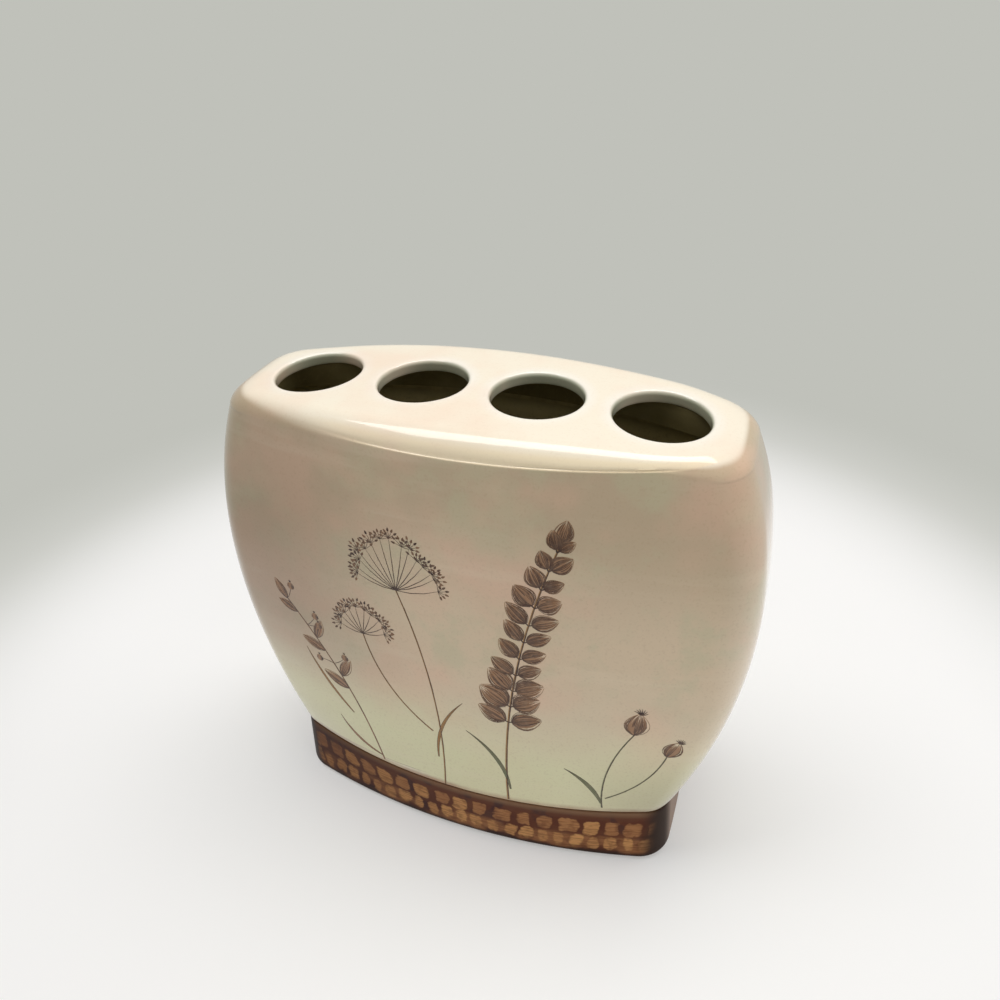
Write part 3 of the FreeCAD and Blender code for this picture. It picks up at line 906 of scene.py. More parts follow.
def draw_tall_sprig(sheet):
    """The tall sprig right of the middle, with pairs of round leaves."""
    ink, ochre = sheet.settings.ink, sheet.settings.ochre
    stem = sheet.stem(chart(12.0, 17.2), chart(22.5, 90.0), bow=-0.05, width=0.50 * MM, tint=ochre)
    for share in even_steps(0.34, 0.97, 11):
        place = share * (STEM_POINTS - 1)
        step = min(int(place), STEM_POINTS - 2)
        base = stem[step].lerp(stem[step + 1], place - step)
        along = stem[step + 1] - stem[step]
        lean = math.atan2(along.x, along.y)
        length = blend(8.2, 4.2, share ** 1.5) * MM
        for way in (-1, 1):
            turn = lean + way * math.radians(blend(78, 38, share) + sheet.dice.uniform(-9, 9))
            size = length * sheet.dice.uniform(0.82, 1.1)
            foot = base + heading(turn) * 0.6 * MM
            sheet.hair(base, foot + heading(turn) * 0.5 * MM, bow=0.0, width=0.3 * MM, tint=ink)
            sheet.leaf(foot, turn, size, size * sheet.dice.uniform(0.62, 0.9), strokes=34)
    sheet.leaf(stem[-1], 0.2, length=5.0 * MM, breadth=3.6 * MM, strokes=26)


def draw_umbel(sheet, root, top, bow, rays, reach):
    """A spoked seed head on a slender stalk."""
    sheet.stem(root, top, bow, width=0.36 * MM, tint=sheet.settings.ochre)
    ink, wash = sheet.settings.ink, sheet.settings.wash
    dice = sheet.dice
    for angle in even_steps(-78, 74, rays):
        turn = math.radians(angle + dice.uniform(-3, 3))
        tip = top + heading(turn) * (reach * (1 - 0.16 * abs(turn)) * dice.uniform(0.88, 1.06))
        sheet.hair(top, tip, bow=0.05 * turn, width=0.17 * MM, tint=ink)
        for twig in even_steps(-82, 82, 7):
            way = heading(turn + math.radians(twig))
            far = tip + way * dice.uniform(1.3, 2.1) * MM
            sheet.hair(tip, far, bow=0.04, width=0.10 * MM, tint=ink)
            shade = blend_all(ink, wash, dice.uniform(0.0, 0.6))
            sheet.hair(far - way * 0.1 * MM, far + way * 0.75 * MM, bow=0.0, width=0.5 * MM, tint=shade)


def draw_berry_branch(sheet):
    """The small leafy branch with berries at the left."""
    ink, wash = sheet.settings.ink, sheet.settings.wash
    stem = sheet.stem(chart(-20.0, 17.6), chart(-41.0, 60.0), bow=0.06, width=0.42 * MM, tint=wash)
    for step, turn, length in ((6, -64, 7.5), (7, 26, 7.0), (9, -70, 6.6), (10, 20, 6.2), (12, -68, 5.4)):
        sheet.leaf(stem[step], math.radians(turn), length * MM, length * 0.42 * MM, strokes=15, fullness=0.9)
    sheet.leaf(stem[-1], math.radians(-30), 5.6 * MM, 2.4 * MM, strokes=13, fullness=0.9)
    for step, turn, reach in ((8, 48, 4.6), (8, -88, 4.0), (11, 38, 4.4), (11, 74, 3.4), (13, 22, 4.4)):
        centre = stem[step] + heading(math.radians(turn)) * reach * MM
        sheet.hair(stem[step], centre, bow=0.06, width=0.15 * MM, tint=ink)
        sheet.berry(centre, 0.95 * MM)


def draw_seed_pod(sheet, root, neck, bow, size):
    """A round seed pod on a bent stalk, with its ribs and crown."""
    ink = sheet.settings.ink
    sheet.stem(root, neck, bow, width=0.34 * MM, tint=sheet.settings.leaf)
    lean = math.atan2(neck.x - root.x, neck.y - root.y) * 0.7
    length = 6.6 * size * MM
    sheet.leaf(neck, lean, length, breadth=length * 0.78, strokes=24, fullness=0.85)
    crown = neck + heading(lean) * length
    start = crown - heading(lean) * 0.3 * MM
    for angle in even_steps(-72, 72, 7):
        turn = lean + math.radians(angle)
        sheet.hair(start, crown + heading(turn) * 1.5 * size * MM, bow=0.1, width=0.24 * MM, tint=ink)


def draw_blades(sheet):
    """Slender blades at the roots of the stalks."""
    settings = sheet.settings
    for start, finish, bow, width, tint in (
            ((12.6, 21.0), (2.5, 37.0), 0.12, 1.0, settings.leaf),
            ((32.8, 20.0), (24.5, 31.0), 0.10, 1.1, settings.leaf),
            ((-20.4, 19.0), (-31.5, 27.5), -0.12, 0.9, settings.wash),
            ((-27.0, 30.5), (-38.0, 47.0), -0.05, 0.8, settings.ochre),
            ((-4.6, 26.0), (2.0, 45.0), -0.10, 0.8, settings.ochre)):
        sheet.blade(chart(*start), chart(*finish), bow, width * MM, tint)


def model_print():
    settings = bpy.context.scene.holder_print
    sheet = PrintSheet(settings)
    draw_tall_sprig(sheet)
    draw_umbel(sheet, chart(-3.5, 17.0), chart(-11.5, 72.0), bow=0.05, rays=15, reach=12.5 * MM)
    draw_umbel(sheet, chart(-5.6, 34.0), chart(-21.0, 57.5), bow=-0.10, rays=10, reach=7.5 * MM)
    draw_berry_branch(sheet)
    draw_seed_pod(sheet, chart(33.0, 18.4), chart(38.5, 44.0), bow=-0.08, size=1.0)
    draw_seed_pod(sheet, chart(33.6, 22.0), chart(45.5, 38.0), bow=0.10, size=0.8)
    draw_blades(sheet)
    data = bpy.data.meshes.new("holder_print")
    sheet.mesh.to_mesh(data)
    sheet.mesh.free()
    piece = bpy.data.objects.new("holder_print", data)
    bpy.context.scene.collection.objects.link(piece)
    start_piece()
    bpy.context.view_layer.objects.active = piece
    piece.select_set(True)
    bpy.ops.object.modifier_add(type="SOLIDIFY")
    piece.modifiers[-1].thickness = settings.lift * 2
    piece.modifiers[-1].offset = -1.0
    bpy.ops.object.modifier_apply(modifier=piece.modifiers[-1].name)
    bpy.ops.object.shade_smooth_by_angle(angle=math.radians(30))
    return piece


# Materials

COAT_ROUGHNESS = 0.08
GLAZE_IOR = 1.5
RIPPLE_DEPTH = 0.12 * MM


def built_once(library, name):
    """Marks the maker of a shared material or node group, which is built once and then found by name."""
    def mark(make):
        return lambda: getattr(bpy.data, library).get(name) or make(name)
    return mark


class Finish:
    """The nodes of a material, a node group or a world. Patterns follow the vector named place."""

    def __init__(self, tree, place=None):
        self.tree = tree
        self.place = place

    def feed(self, target, value):
        """Links a socket to another socket, or sets it to a plain value."""
        if isinstance(value, bpy.types.NodeSocket):
            self.tree.links.new(value, target)
        else:
            target.default_value = value

    def node(self, kind, inputs=None, **settings):
        node = self.tree.nodes.new(f"ShaderNode{kind}")
        for key, value in settings.items():
            setattr(node, key, value)
        for key, value in (inputs or {}).items():
            self.feed(node.inputs[key], value)
        return node

    def calculate(self, operation, *values):
        return self.node("Math", dict(enumerate(values)), operation=operation).outputs[0]

    def times(self, first, *others):
        """The product of two or more values."""
        for other in others:
            first = self.calculate("MULTIPLY", first, other)
        return first

    def fade(self, value, low, high, to_low=0.0, to_high=1.0):
        """A smooth change from one value to another as the input goes from low to high."""
        inputs = {"Value": value, "From Min": low, "From Max": high, "To Min": to_low, "To Max": to_high}
        return self.node("MapRange", inputs, interpolation_type="SMOOTHSTEP").outputs["Result"]

    def fade_mm(self, value, low, high, to_low=0.0, to_high=1.0):
        """The same for a length, with low and high in millimetres."""
        return self.fade(value, low * MM, high * MM, to_low, to_high)

    def mix(self, factor, first, second, mode="MIX"):
        node = self.node("Mix", data_type="RGBA", blend_type=mode)
        sockets = {socket.identifier: socket for socket in (*node.inputs, *node.outputs)}
        for identifier, value in (("Factor_Float", factor), ("A_Color", first), ("B_Color", second)):
            self.feed(sockets[identifier], value)
        return sockets["Result_Color"]

    def stretch(self, scale):
        """The place, drawn out by a scale for each axis."""
        return self.node("Mapping", {"Vector": self.place, "Scale": scale}).outputs["Vector"]

    def axes(self, vector=None):
        return self.node("SeparateXYZ", {"Vector": self.place if vector is None else vector}).outputs

    def noise(self, scale, detail=2.0, roughness=0.5, distortion=0.0, vector=None):
        inputs = {"Vector": self.place if vector is None else vector, "Scale": scale, "Detail": detail,
                  "Roughness": roughness, "Distortion": distortion}
        return self.node("TexNoise", inputs).outputs["Fac"]

    def sway(self, chance, amount, value):
        """A value moved to either side by a chance from nought to one."""
        return self.calculate("MULTIPLY_ADD", self.calculate("SUBTRACT", chance, 0.5), amount, value)

    def wander(self, scale, amount, value, detail=2.0):
        """A value that wanders a little to either side over the surface."""
        return self.sway(self.noise(scale, detail), amount, value)

    def group(self, shared, inputs=None):
        """The output of a shared node group that follows the same place."""
        return self.node("Group", {"Vector": self.place, **(inputs or {})}, node_tree=shared).outputs[0]


class Surface(Finish):
    """A material with a Principled BSDF, whose patterns follow the piece's own coordinates."""

    def __init__(self, name):
        self.material = bpy.data.materials.new(name)
        self.material.use_nodes = True
        super().__init__(self.material.node_tree)
        self.tree.nodes.clear()
        self.shader = self.node("BsdfPrincipled")
        self.output = self.node("OutputMaterial", {"Surface": self.shader.outputs["BSDF"]})
        self.place = self.node("TexCoord").outputs["Object"]

    def set_shader(self, **values):
        """Sets the shader's sockets, named with an underscore for each space."""
        for key, value in values.items():
            self.feed(self.shader.inputs[key.replace("_", " ")], value)

    def bump(self, height, strength, distance):
        node = self.node("Bump", {"Height": height, "Strength": strength, "Distance": distance})
        self.set_shader(Normal=node.outputs["Normal"])

    def gloss(self, roughness, coat, ripple, specular=0.15):
        """The gloss of a glaze: a clear coat over a satin ground, with a faint ripple."""
        self.set_shader(Roughness=roughness, Coat_Weight=coat, Coat_Roughness=COAT_ROUGHNESS,
                        IOR=GLAZE_IOR, Specular_IOR_Level=specular)
        self.bump(self.group(ripple_group()), ripple, RIPPLE_DEPTH)


def new_group(name, inputs, output):
    """A node group with named sockets. Each socket is a name and a kind, and may have a default."""
    group = bpy.data.node_groups.new(name, "ShaderNodeTree")
    for way, sockets in (("INPUT", inputs), ("OUTPUT", [output])):
        for title, kind, *default in sockets:
            socket = group.interface.new_socket(title, in_out=way, socket_type=f"NodeSocket{kind}")
            if default:
                socket.default_value = default[0]
    inside = group.nodes.new("NodeGroupInput").outputs
    outside = group.nodes.new("NodeGroupOutput").inputs
    return Finish(group, inside["Vector"]), inside, outside[0]


@built_once("node_groups", "glaze_mottle")
def mottle_group(name):
    """Clouds of colour, faint level streaks and fine specks over a ground colour."""
    paint, inside, outside = new_group(
        name,
        [("Vector", "Vector"), ("Ground", "Color"), ("Cloud", "Color"), ("Streak", "Color"),
         ("Speck", "Color"), ("Cloud_strength", "Float", 0.5), ("Streak_strength", "Float", 0.3),
         ("Speck_strength", "Float", 0.4)],
        ("Color", "Color"))
    level = paint.stretch((18.0, 18.0, 150.0))
    ground = inside["Ground"]
    for title, pattern, low, high in (
            ("Cloud", paint.noise(42.0, detail=3.0, roughness=0.55), 0.42, 0.66),
            ("Streak", paint.noise(1.0, detail=3.0, roughness=0.6, distortion=0.4, vector=level), 0.50, 0.72),
            ("Speck", paint.noise(1900.0, detail=1.0), 0.52, 0.76)):
        strength = paint.times(paint.fade(pattern, low, high), inside[f"{title}_strength"])
        ground = paint.mix(strength, ground, inside[title])
    paint.feed(outside, ground)
    return paint.tree


@built_once("node_groups", "glaze_ripple")
def ripple_group(name):
    """The faint unevenness of a fired glaze, as a height."""
    paint, _, outside = new_group(name, [("Vector", "Vector")], ("Height", "Float"))
    broad = paint.noise(160.0, detail=1.0, roughness=0.4)
    fine = paint.noise(900.0, detail=1.0, roughness=0.4)
    paint.feed(outside, paint.calculate("MULTIPLY_ADD", fine, 0.25, broad))
    return paint.tree


# The pale glaze

# Millimetres above the table over which one colour of the body turns into the next
SAGE_TO_SAND = (27, 47)
SAND_TO_BLUSH = (42, 62)
BLUSH_TO_DUSK = (66, 96)
MOSS_RISE = (40, 60)
CLOUD_TURN = (24, 52)

# Where an effect fades, from and to in millimetres, and its strength at each where not nought and one
# Painted sheen, lighter on the body's ends, across and then up
PAINTED_END_SHEEN = (50, 59, 0.0, 0.25)
PAINTED_END_SHEEN_RISE = (40, 70)
SOFT_LEFT_FADE = (12, 36)
SOFT_ENDS_FADE = (43, 50)
CROWN_RIGHT = (42, 51, -0.12, -1.3)
# Painted highlight along the crease, fading out towards the left and near the right corner
CREASE_HIGHLIGHT = (0.04, 0.26, 0.75, 0.0)
CREASE_HIGHLIGHT_LEFT = (12, 26, 1.0, 0.0)
CREASE_HIGHLIGHT_RIGHT = (-47, -40)
LIP_HALO = (0.2, 3.4, 1.0, 0.0)
HOLE_WALL = (0.02, 0.6, 1.0, 0.0)
STRIP_REACH = (-14, -6, 1.0, 0.0)
STRIP_FRONT = (0, -4)
STRIP_EDGE = (-0.2, 0.1, 0.5, 0.0)
STRIP_THREAD = (0.06, 0.22, 0.5, 0.0)
# Painted shade on the front, towards its left end and low at its right end
SHADE_LEFT = (0, 46)
SHADE_RISE = (30, 58)
SHADE_FRONT = (-9, 0, 1.0, 0.0)
LOW_RIGHT = (22, 48)
LOW_RIGHT_RISE = (18, 42, 0.8, 0.0)
LOW_RIGHT_FRONT = (-16, -10, 1.0, 0.0)

# Shares of the height from the crease to the deck over which the wall's colours turn into cream
CROWN_TOP = 0.25
CROWN_LEFT_LIFT = 0.60
CROWN_LEFT_DROP = -0.25

# Ranges as above, over the same shares or over a pattern's values
FACET_START = (-0.02, 0.12, 0.0, 0.7)
FACET_END = (0.45, 0.8, 1.0, 0.0)
SHADE_TOP = (-0.5, 0.5, 1.0, 0.0)
MOSSY_CLOUDS = (0.46, 0.64, 0.0, 0.55)

# Tints of the clouds, streaks and specks
SAGE_CLOUD = tone("E4DEB4")
BLUSH_CLOUD = tone("E9BFA4")
DECK_CLOUD = tone("F9DEC6")
BODY_SPECK = tone("AD9070")
DECK_SPECK = tone("E6CFB2")
PALE_STREAK = tone("EFE2C6")

STRIP_HEIGHT = 2.8 * MM
STRIP_SLOPE = 0.045


def hole_distance(paint, x, y):
    """Distance past the edge of the nearest brush hole, seen from above."""
    form = bpy.context.scene.holder_form
    outermost = (HOLE_COUNT - 1) / 2
    steps = paint.calculate("DIVIDE", x, form.hole_pitch)
    nearest = paint.calculate("ADD", paint.calculate("FLOOR", steps), 0.5)
    nearest = paint.calculate("MINIMUM", paint.calculate("MAXIMUM", nearest, -outermost), outermost)
    aside = paint.times(paint.calculate("SUBTRACT", steps, nearest), form.hole_pitch)
    squares = paint.calculate("ADD", paint.times(aside, aside), paint.times(y, y))
    return paint.calculate("SUBTRACT", paint.calculate("SQRT", squares), form.hole_radius)


def crease_share(paint, z, across):
    """Height above the crease, and the same as a share of the height from the crease to the deck."""
    form = bpy.context.scene.holder_form

    def arch(reach, rise):
        share = paint.calculate("MINIMUM", paint.calculate("DIVIDE", across, reach), 1.0)
        return paint.times(share, share, rise)

    crease = paint.calculate("ADD", arch(form.crease_reach, form.crease_rise), PARTING)
    deck = paint.calculate("SUBTRACT", DECK_TOP, arch(form.half_lengths[-1], form.deck_rise))
    past = paint.calculate("SUBTRACT", z, crease)
    return past, paint.calculate("DIVIDE", past, paint.calculate("SUBTRACT", deck, crease))


def wall_colours(paint, z, height, across):
    """Sage, sand, blush and dusk up the wall, with mossy clouds and a painted sheen that makes the ends
    paler.
    """
    glaze = bpy.context.scene.holder_glaze
    ground = glaze.sage
    for turn, next_colour in ((SAGE_TO_SAND, glaze.sand), (SAND_TO_BLUSH, glaze.blush),
                              (BLUSH_TO_DUSK, glaze.dusk)):
        ground = paint.mix(paint.fade_mm(height, *turn), ground, next_colour)
    clouds = paint.fade(paint.noise(75.0, detail=4.0, roughness=0.6), *MOSSY_CLOUDS)
    ground = paint.mix(paint.times(clouds, paint.fade_mm(height, *MOSS_RISE)), ground, glaze.moss)
    # Painted sheen: the ends of the body lightened towards pale
    ends = paint.times(paint.fade_mm(across, *PAINTED_END_SHEEN), paint.fade_mm(z, *PAINTED_END_SHEEN_RISE))
    return paint.mix(ends, ground, glaze.pale)


def shoulder_colours(paint, ground, left, across, past_crease, share):
    """The deeper facet, and a painted highlight as the fine line of the crease, where the shoulder is crisp.
    """
    glaze = bpy.context.scene.holder_glaze
    soft = paint.calculate("MAXIMUM", paint.fade_mm(left, *SOFT_LEFT_FADE),
                           paint.fade_mm(across, *SOFT_ENDS_FADE))
    facet = paint.times(paint.fade(share, *FACET_START), paint.fade(share, *FACET_END),
                        paint.fade(soft, 0.0, 1.0, 1.0, 0.0))
    ground = paint.mix(facet, ground, glaze.facet)
    # Painted highlight: a warm white line along the crease
    line = paint.fade_mm(paint.calculate("ABSOLUTE", past_crease), *CREASE_HIGHLIGHT)
    line = paint.times(line, paint.fade_mm(left, *CREASE_HIGHLIGHT_LEFT), paint.fade_mm(left, *CREASE_HIGHLIGHT_RIGHT))
    return paint.mix(line, ground, glaze.rim)


def hole_colours(paint, ground, x, y, z):
    """Pale lips and grey green walls of the brush holes."""
    glaze = bpy.context.scene.holder_glaze
    past_edge = hole_distance(paint, x, y)
    on_deck = paint.fade(z, PARTING - 4 * MM, PARTING)
    ground = paint.mix(paint.times(paint.fade_mm(past_edge, *LIP_HALO), on_deck), ground, glaze.pale)
    return paint.mix(paint.times(paint.fade_mm(past_edge, *HOLE_WALL), on_deck), ground, glaze.well)


def low_strip(paint, ground, x, y, z):
    """The pale strip and its fine grey line above the foot, from the left end to near the middle."""
    glaze = bpy.context.scene.holder_glaze
    line = paint.calculate("MULTIPLY_ADD", x, STRIP_SLOPE, FOOT_TOP + STRIP_HEIGHT)
    above = paint.calculate("SUBTRACT", z, line)
    here = paint.times(paint.fade_mm(x, *STRIP_REACH), paint.fade_mm(y, *STRIP_FRONT))
    strip = paint.times(paint.fade_mm(above, *STRIP_EDGE), here)
    thread = paint.fade_mm(paint.calculate("ABSOLUTE", above), *STRIP_THREAD)
    ground = paint.mix(strip, ground, glaze.pale)
    return paint.mix(paint.times(thread, here), ground, glaze.foot_side)


def front_shade(paint, x, y, z, left, share):
    """Painted shade on the front: darker towards its left end, and low at its right end."""
    left_end_shade = paint.times(paint.fade_mm(left, *SHADE_LEFT), paint.fade_mm(z, *SHADE_RISE),
                           paint.fade(z, 72 * MM, PARTING - 3 * MM, 1.0, 0.5),
                           paint.fade(share, *SHADE_TOP), paint.fade_mm(y, *SHADE_FRONT))
    low_right_shade = paint.times(paint.fade_mm(x, *LOW_RIGHT), paint.fade_mm(z, *LOW_RIGHT_RISE),
                            paint.fade_mm(y, *LOW_RIGHT_FRONT))
    return paint.calculate("MAXIMUM", left_end_shade, low_right_shade)


@built_once("materials", "holder_glaze")
def holder_glaze(name):
    """The pale glaze of the body and the deck: sage at the foot, blush above it, cream on top."""
    glaze = bpy.context.scene.holder_glaze
    paint = Surface(name)
    x, y, z = paint.axes()
    left = paint.times(x, -1.0)
    across = paint.calculate("ABSOLUTE", x)
    past_crease, share = crease_share(paint, z, across)
    height = paint.wander(30.0, 16 * MM, z, detail=3.0)
    soft_left = paint.fade_mm(left, *SOFT_LEFT_FADE)
    crown_low = paint.calculate("MULTIPLY_ADD", soft_left, CROWN_LEFT_DROP, paint.fade_mm(x, *CROWN_RIGHT))
    crown_high = paint.calculate("MULTIPLY_ADD", soft_left, CROWN_LEFT_LIFT, CROWN_TOP)
    crown = paint.fade(share, crown_low, crown_high)
    ground = paint.mix(crown, wall_colours(paint, z, height, across), glaze.cream)
    ground = shoulder_colours(paint, ground, left, across, past_crease, share)
    ground = hole_colours(paint, ground, x, y, z)
    ground = low_strip(paint, ground, x, y, z)
    haze = paint.fade(paint.wander(500.0, 0.6 * MM, z), FOOT_TOP + 0.4 * MM, FOOT_TOP + 2.4 * MM, 1.0, 0.0)
    ground = paint.mix(haze, ground, glaze.foot_mid)
    clouds = paint.mix(paint.fade_mm(height, *CLOUD_TURN), SAGE_CLOUD, BLUSH_CLOUD)
    mottled = paint.group(mottle_group(), {
        "Ground": ground, "Cloud": paint.mix(crown, clouds, DECK_CLOUD), "Streak": PALE_STREAK,
        "Speck": paint.mix(crown, BODY_SPECK, DECK_SPECK), "Cloud_strength": 0.55,
        "Streak_strength": 0.2, "Speck_strength": 0.14})
    # Painted shade, multiplied into the colour of the front
    shade = front_shade(paint, x, y, z, left, share)
    paint.set_shader(Base_Color=paint.mix(shade, mottled, glaze.shade, "MULTIPLY"))
    paint.gloss(roughness=0.32, coat=1.0, ripple=0.10)
    return paint.material


@built_once("materials", "inside_glaze")
def inside_glaze(name):
    """The thin olive glaze inside, with painted shade just under the deck."""
    glaze = bpy.context.scene.holder_glaze
    paint = Surface(name)
    shade_near_deck = paint.fade(paint.axes()["Z"], SPIGOT_FOOT - 6 * MM, SPIGOT_FOOT - 1 * MM)
    mottled = paint.group(mottle_group(), {
        "Ground": paint.mix(shade_near_deck, glaze.inside, glaze.throat_shade), "Cloud": tone("B5A878"),
        "Streak": tone("C9BD90"), "Speck": tone("8A7D55"), "Cloud_strength": 0.4,
        "Streak_strength": 0.2, "Speck_strength": 0.3})
    paint.set_shader(Base_Color=mottled)
    paint.gloss(roughness=0.5, coat=0.2, ripple=0.2)
    return paint.material


# The brown glaze

FOOT_GIRTH = 266 * MM

# The patches of each row: their place, size and pitch in millimetres, and how square they are
UPPER_PATCHES = {"middle": 10.65, "half_height": 2.45, "pitch": 5.3, "start": 11.3, "squareness": 4.6}
LOWER_PATCHES = {"middle": 5.0, "half_height": 2.3, "pitch": 4.1, "start": 47.8, "squareness": 3.0}

# How much the patches differ: along the row in shares of the pitch, and up and down in metres
ROW_SWAY = 0.9
SIDE_PLAY = 0.12
WIDTH_PLAY = 0.13
LEAST_HALF_WIDTH = 0.31
LEVEL_SWAY = 1.3 * MM
LEVEL_PLAY = 0.9 * MM
EDGE_SWAY = 2.4
PATCH_EDGE = (0.3, 1.4, 1.0, 0.0)

# Where the brown glaze changes, from and to in millimetres, and the strength at each
WARM_RISE = (6.4, 8.4, 1.0, 0.15)
TOP_BAND = (13.0, 13.9, 0.0, 0.92)
BAND_RISE = (14.0, 16.2, 0.1, 0.9)
LOW_EDGE = (1.3, 2.9, 0.95, 0.0)
PLAIN_ENDS = (41.0, 45.5)
DARK_CORNERS = (12.5, 17.0)
# Painted shade on the foot towards its left front
FOOT_SHADE_LEFT = (-46.0, 8.0, 1.0, 0.0)
FOOT_SHADE_FRONT = (-6.0, 0.0, 1.0, 0.0)
BARE_UNDERSIDE = (0.55, 0.75, 1.0, 0.0)

FOOT_SHADE_TINT = tone("BFB2A6")

# Ranges as above, over the values of a pattern
PLUM_GAPS = (0.52, 0.66)
WARM_CLOUDS = (0.38, 0.58, 0.0, 0.85)
UPPER_LIGHTNESS = (0.2, 0.9, 0.1, 0.8)
LOWER_LIGHTNESS = (0.1, 0.7, 0.55, 1.0)
HATCHING = (0.44, 0.62, 0.0, 0.42)
WEAR = (0.54, 0.70, 0.0, 0.4)


def patch_row(paint, around, height, middle, half_height, pitch, start, squareness):
    """A row of rounded patches of changing width: where they lie, and a chance value for each."""
    steps = paint.calculate("MULTIPLY_ADD", around, FOOT_GIRTH / MM / pitch, start)
    steps = paint.wander(110.0, ROW_SWAY, steps)
    number = paint.calculate("FLOOR", steps)
    dice = paint.node("TexWhiteNoise", {"W": number}, noise_dimensions="1D")
    chances = paint.node("SeparateColor", {"Color": dice.outputs["Color"]}).outputs
    aside = paint.calculate("SUBTRACT", paint.calculate("SUBTRACT", steps, number), 0.5)
    aside = paint.calculate("ABSOLUTE", paint.sway(chances[1], SIDE_PLAY, aside))
    half_width = paint.calculate("MULTIPLY_ADD", chances[0], WIDTH_PLAY, LEAST_HALF_WIDTH)
    aside = paint.calculate("DIVIDE", aside, half_width)
    level = paint.calculate("SUBTRACT", paint.wander(260.0, LEVEL_SWAY, height), middle * MM)
    level = paint.calculate("ABSOLUTE", paint.sway(chances[2], LEVEL_PLAY, level))
    level = paint.calculate("DIVIDE", level, half_height * MM)
    edge = paint.calculate("ADD", *(paint.calculate("POWER", way, squareness) for way in (aside, level)))
    return paint.fade(paint.wander(750.0, EDGE_SWAY, edge), *PATCH_EDGE), dice.outputs["Value"]


@built_once("materials", "brown_weave_glaze")
def foot_glaze(name):
    """The brown foot: two rows of rounded tan patches between darker gaps, plain at its ends with a painted
    sheen, and painted shade towards its left front.
    """
    glaze = bpy.context.scene.holder_glaze
    paint = Surface(name)
    x, y, height = paint.axes()
    around = paint.axes(paint.node("UVMap", uv_map="wrap").outputs["UV"])["X"]

    gaps = paint.mix(paint.fade(paint.noise(210.0), *PLUM_GAPS), glaze.foot_dark, glaze.foot_deep)
    warm = paint.times(paint.fade(paint.noise(130.0), *WARM_CLOUDS), paint.fade_mm(height, *WARM_RISE))
    ground = paint.mix(warm, gaps, glaze.foot_mid)
    for sizes, lightness in ((UPPER_PATCHES, UPPER_LIGHTNESS), (LOWER_PATCHES, LOWER_LIGHTNESS)):
        patches, chance = patch_row(paint, around, height, **sizes)
        patch = paint.mix(paint.fade(chance, *lightness), glaze.foot_mid, glaze.foot_light)
        ground = paint.mix(patches, ground, patch)

    # Fine level hatching and a worn look inside the patches
    level = paint.stretch((260.0, 260.0, 2400.0))
    hatch = paint.fade(paint.noise(1.0, vector=level), *HATCHING)
    worn = paint.fade(paint.noise(420.0), *WEAR)
    ground = paint.mix(worn, paint.mix(hatch, ground, glaze.foot_dark), glaze.foot_dark)

    # The upper and lower edges, the ends with a painted sheen, and painted shade on the side turned from the
    # light
    band = paint.mix(paint.fade_mm(height, *BAND_RISE), gaps, glaze.foot_band)
    top_band = paint.fade_mm(paint.wander(300.0, 1.4 * MM, height), *TOP_BAND)
    ground = paint.mix(top_band, ground, band)
    low_edge = paint.fade_mm(paint.wander(260.0, 2.0 * MM, height), *LOW_EDGE)
    ground = paint.mix(low_edge, ground, glaze.foot_end)
    # The plain ends: brown lightened as a painted sheen, darker towards their corners
    far_out = paint.wander(200.0, 2.0 * MM, paint.calculate("ABSOLUTE", x))
    depth = paint.calculate("ABSOLUTE", y)
    plain = paint.mix(paint.fade_mm(depth, *DARK_CORNERS), glaze.foot_side, glaze.foot_end)
    ground = paint.mix(paint.fade_mm(far_out, *PLAIN_ENDS), ground, plain)
    # Painted shade: the foot darkened towards its left front
    painted_foot_shade = paint.times(paint.fade_mm(x, *FOOT_SHADE_LEFT), paint.fade_mm(y, *FOOT_SHADE_FRONT))
    ground = paint.mix(painted_foot_shade, ground, FOOT_SHADE_TINT, "MULTIPLY")
    underneath = paint.fade_mm(height, *BARE_UNDERSIDE)
    paint.set_shader(Base_Color=paint.mix(underneath, ground, glaze.bisque))
    paint.gloss(roughness=0.5, coat=0.10, ripple=0.14, specular=0.06)
    return paint.material


# Print, pads, beads and stage

@built_once("materials", "print_ink")
def print_ink(name):
    """The print under the glaze, with ink that is a little uneven."""
    paint = Surface(name)
    ink = paint.node("Attribute", attribute_name="ink").outputs["Color"]
    uneven = paint.fade(paint.noise(900.0), 0.35, 0.75, 0.0, 0.15)
    paint.set_shader(Base_Color=paint.mix(uneven, ink, tone("B79F86")))
    paint.gloss(roughness=0.4, coat=0.6, ripple=0.10)
    return paint.material


def matt_material(name, first, second, scale, detail, roughness, strength, distance):
    """A matt material of two close colours, with a bump where they change."""
    paint = Surface(name)
    grain = paint.noise(scale, detail)
    paint.set_shader(Base_Color=paint.mix(paint.fade(grain, 0.3, 0.7), first, second), Roughness=roughness)
    paint.bump(grain, strength, distance)
    return paint.material


@built_once("materials", "grained_rubber")
def rubber_material(name):
    """Grey rubber with a fine moulded grain."""
    rubber = bpy.context.scene.holder_glaze.rubber
    return matt_material(name, rubber, tone("6B6862"), scale=2600.0, detail=2.0, roughness=0.75,
                         strength=0.3, distance=0.1 * MM)


@built_once("materials", "buff_bond")
def bond_material(name):
    """Buff bonding compound, matt and slightly lumpy."""
    bond = bpy.context.scene.holder_glaze.bond
    return matt_material(name, bond, tone("8D8058"), scale=420.0, detail=3.0, roughness=0.8,
                         strength=0.4, distance=0.2 * MM)


def seen_directly(paint):
    """One where the camera looks, straight, in a reflection or through glass, and nought for light."""
    path = paint.node("LightPath").outputs
    straight = paint.calculate("MAXIMUM", path["Is Camera Ray"], path["Is Glossy Ray"])
    return paint.calculate("MAXIMUM", straight, path["Is Transmission Ray"])


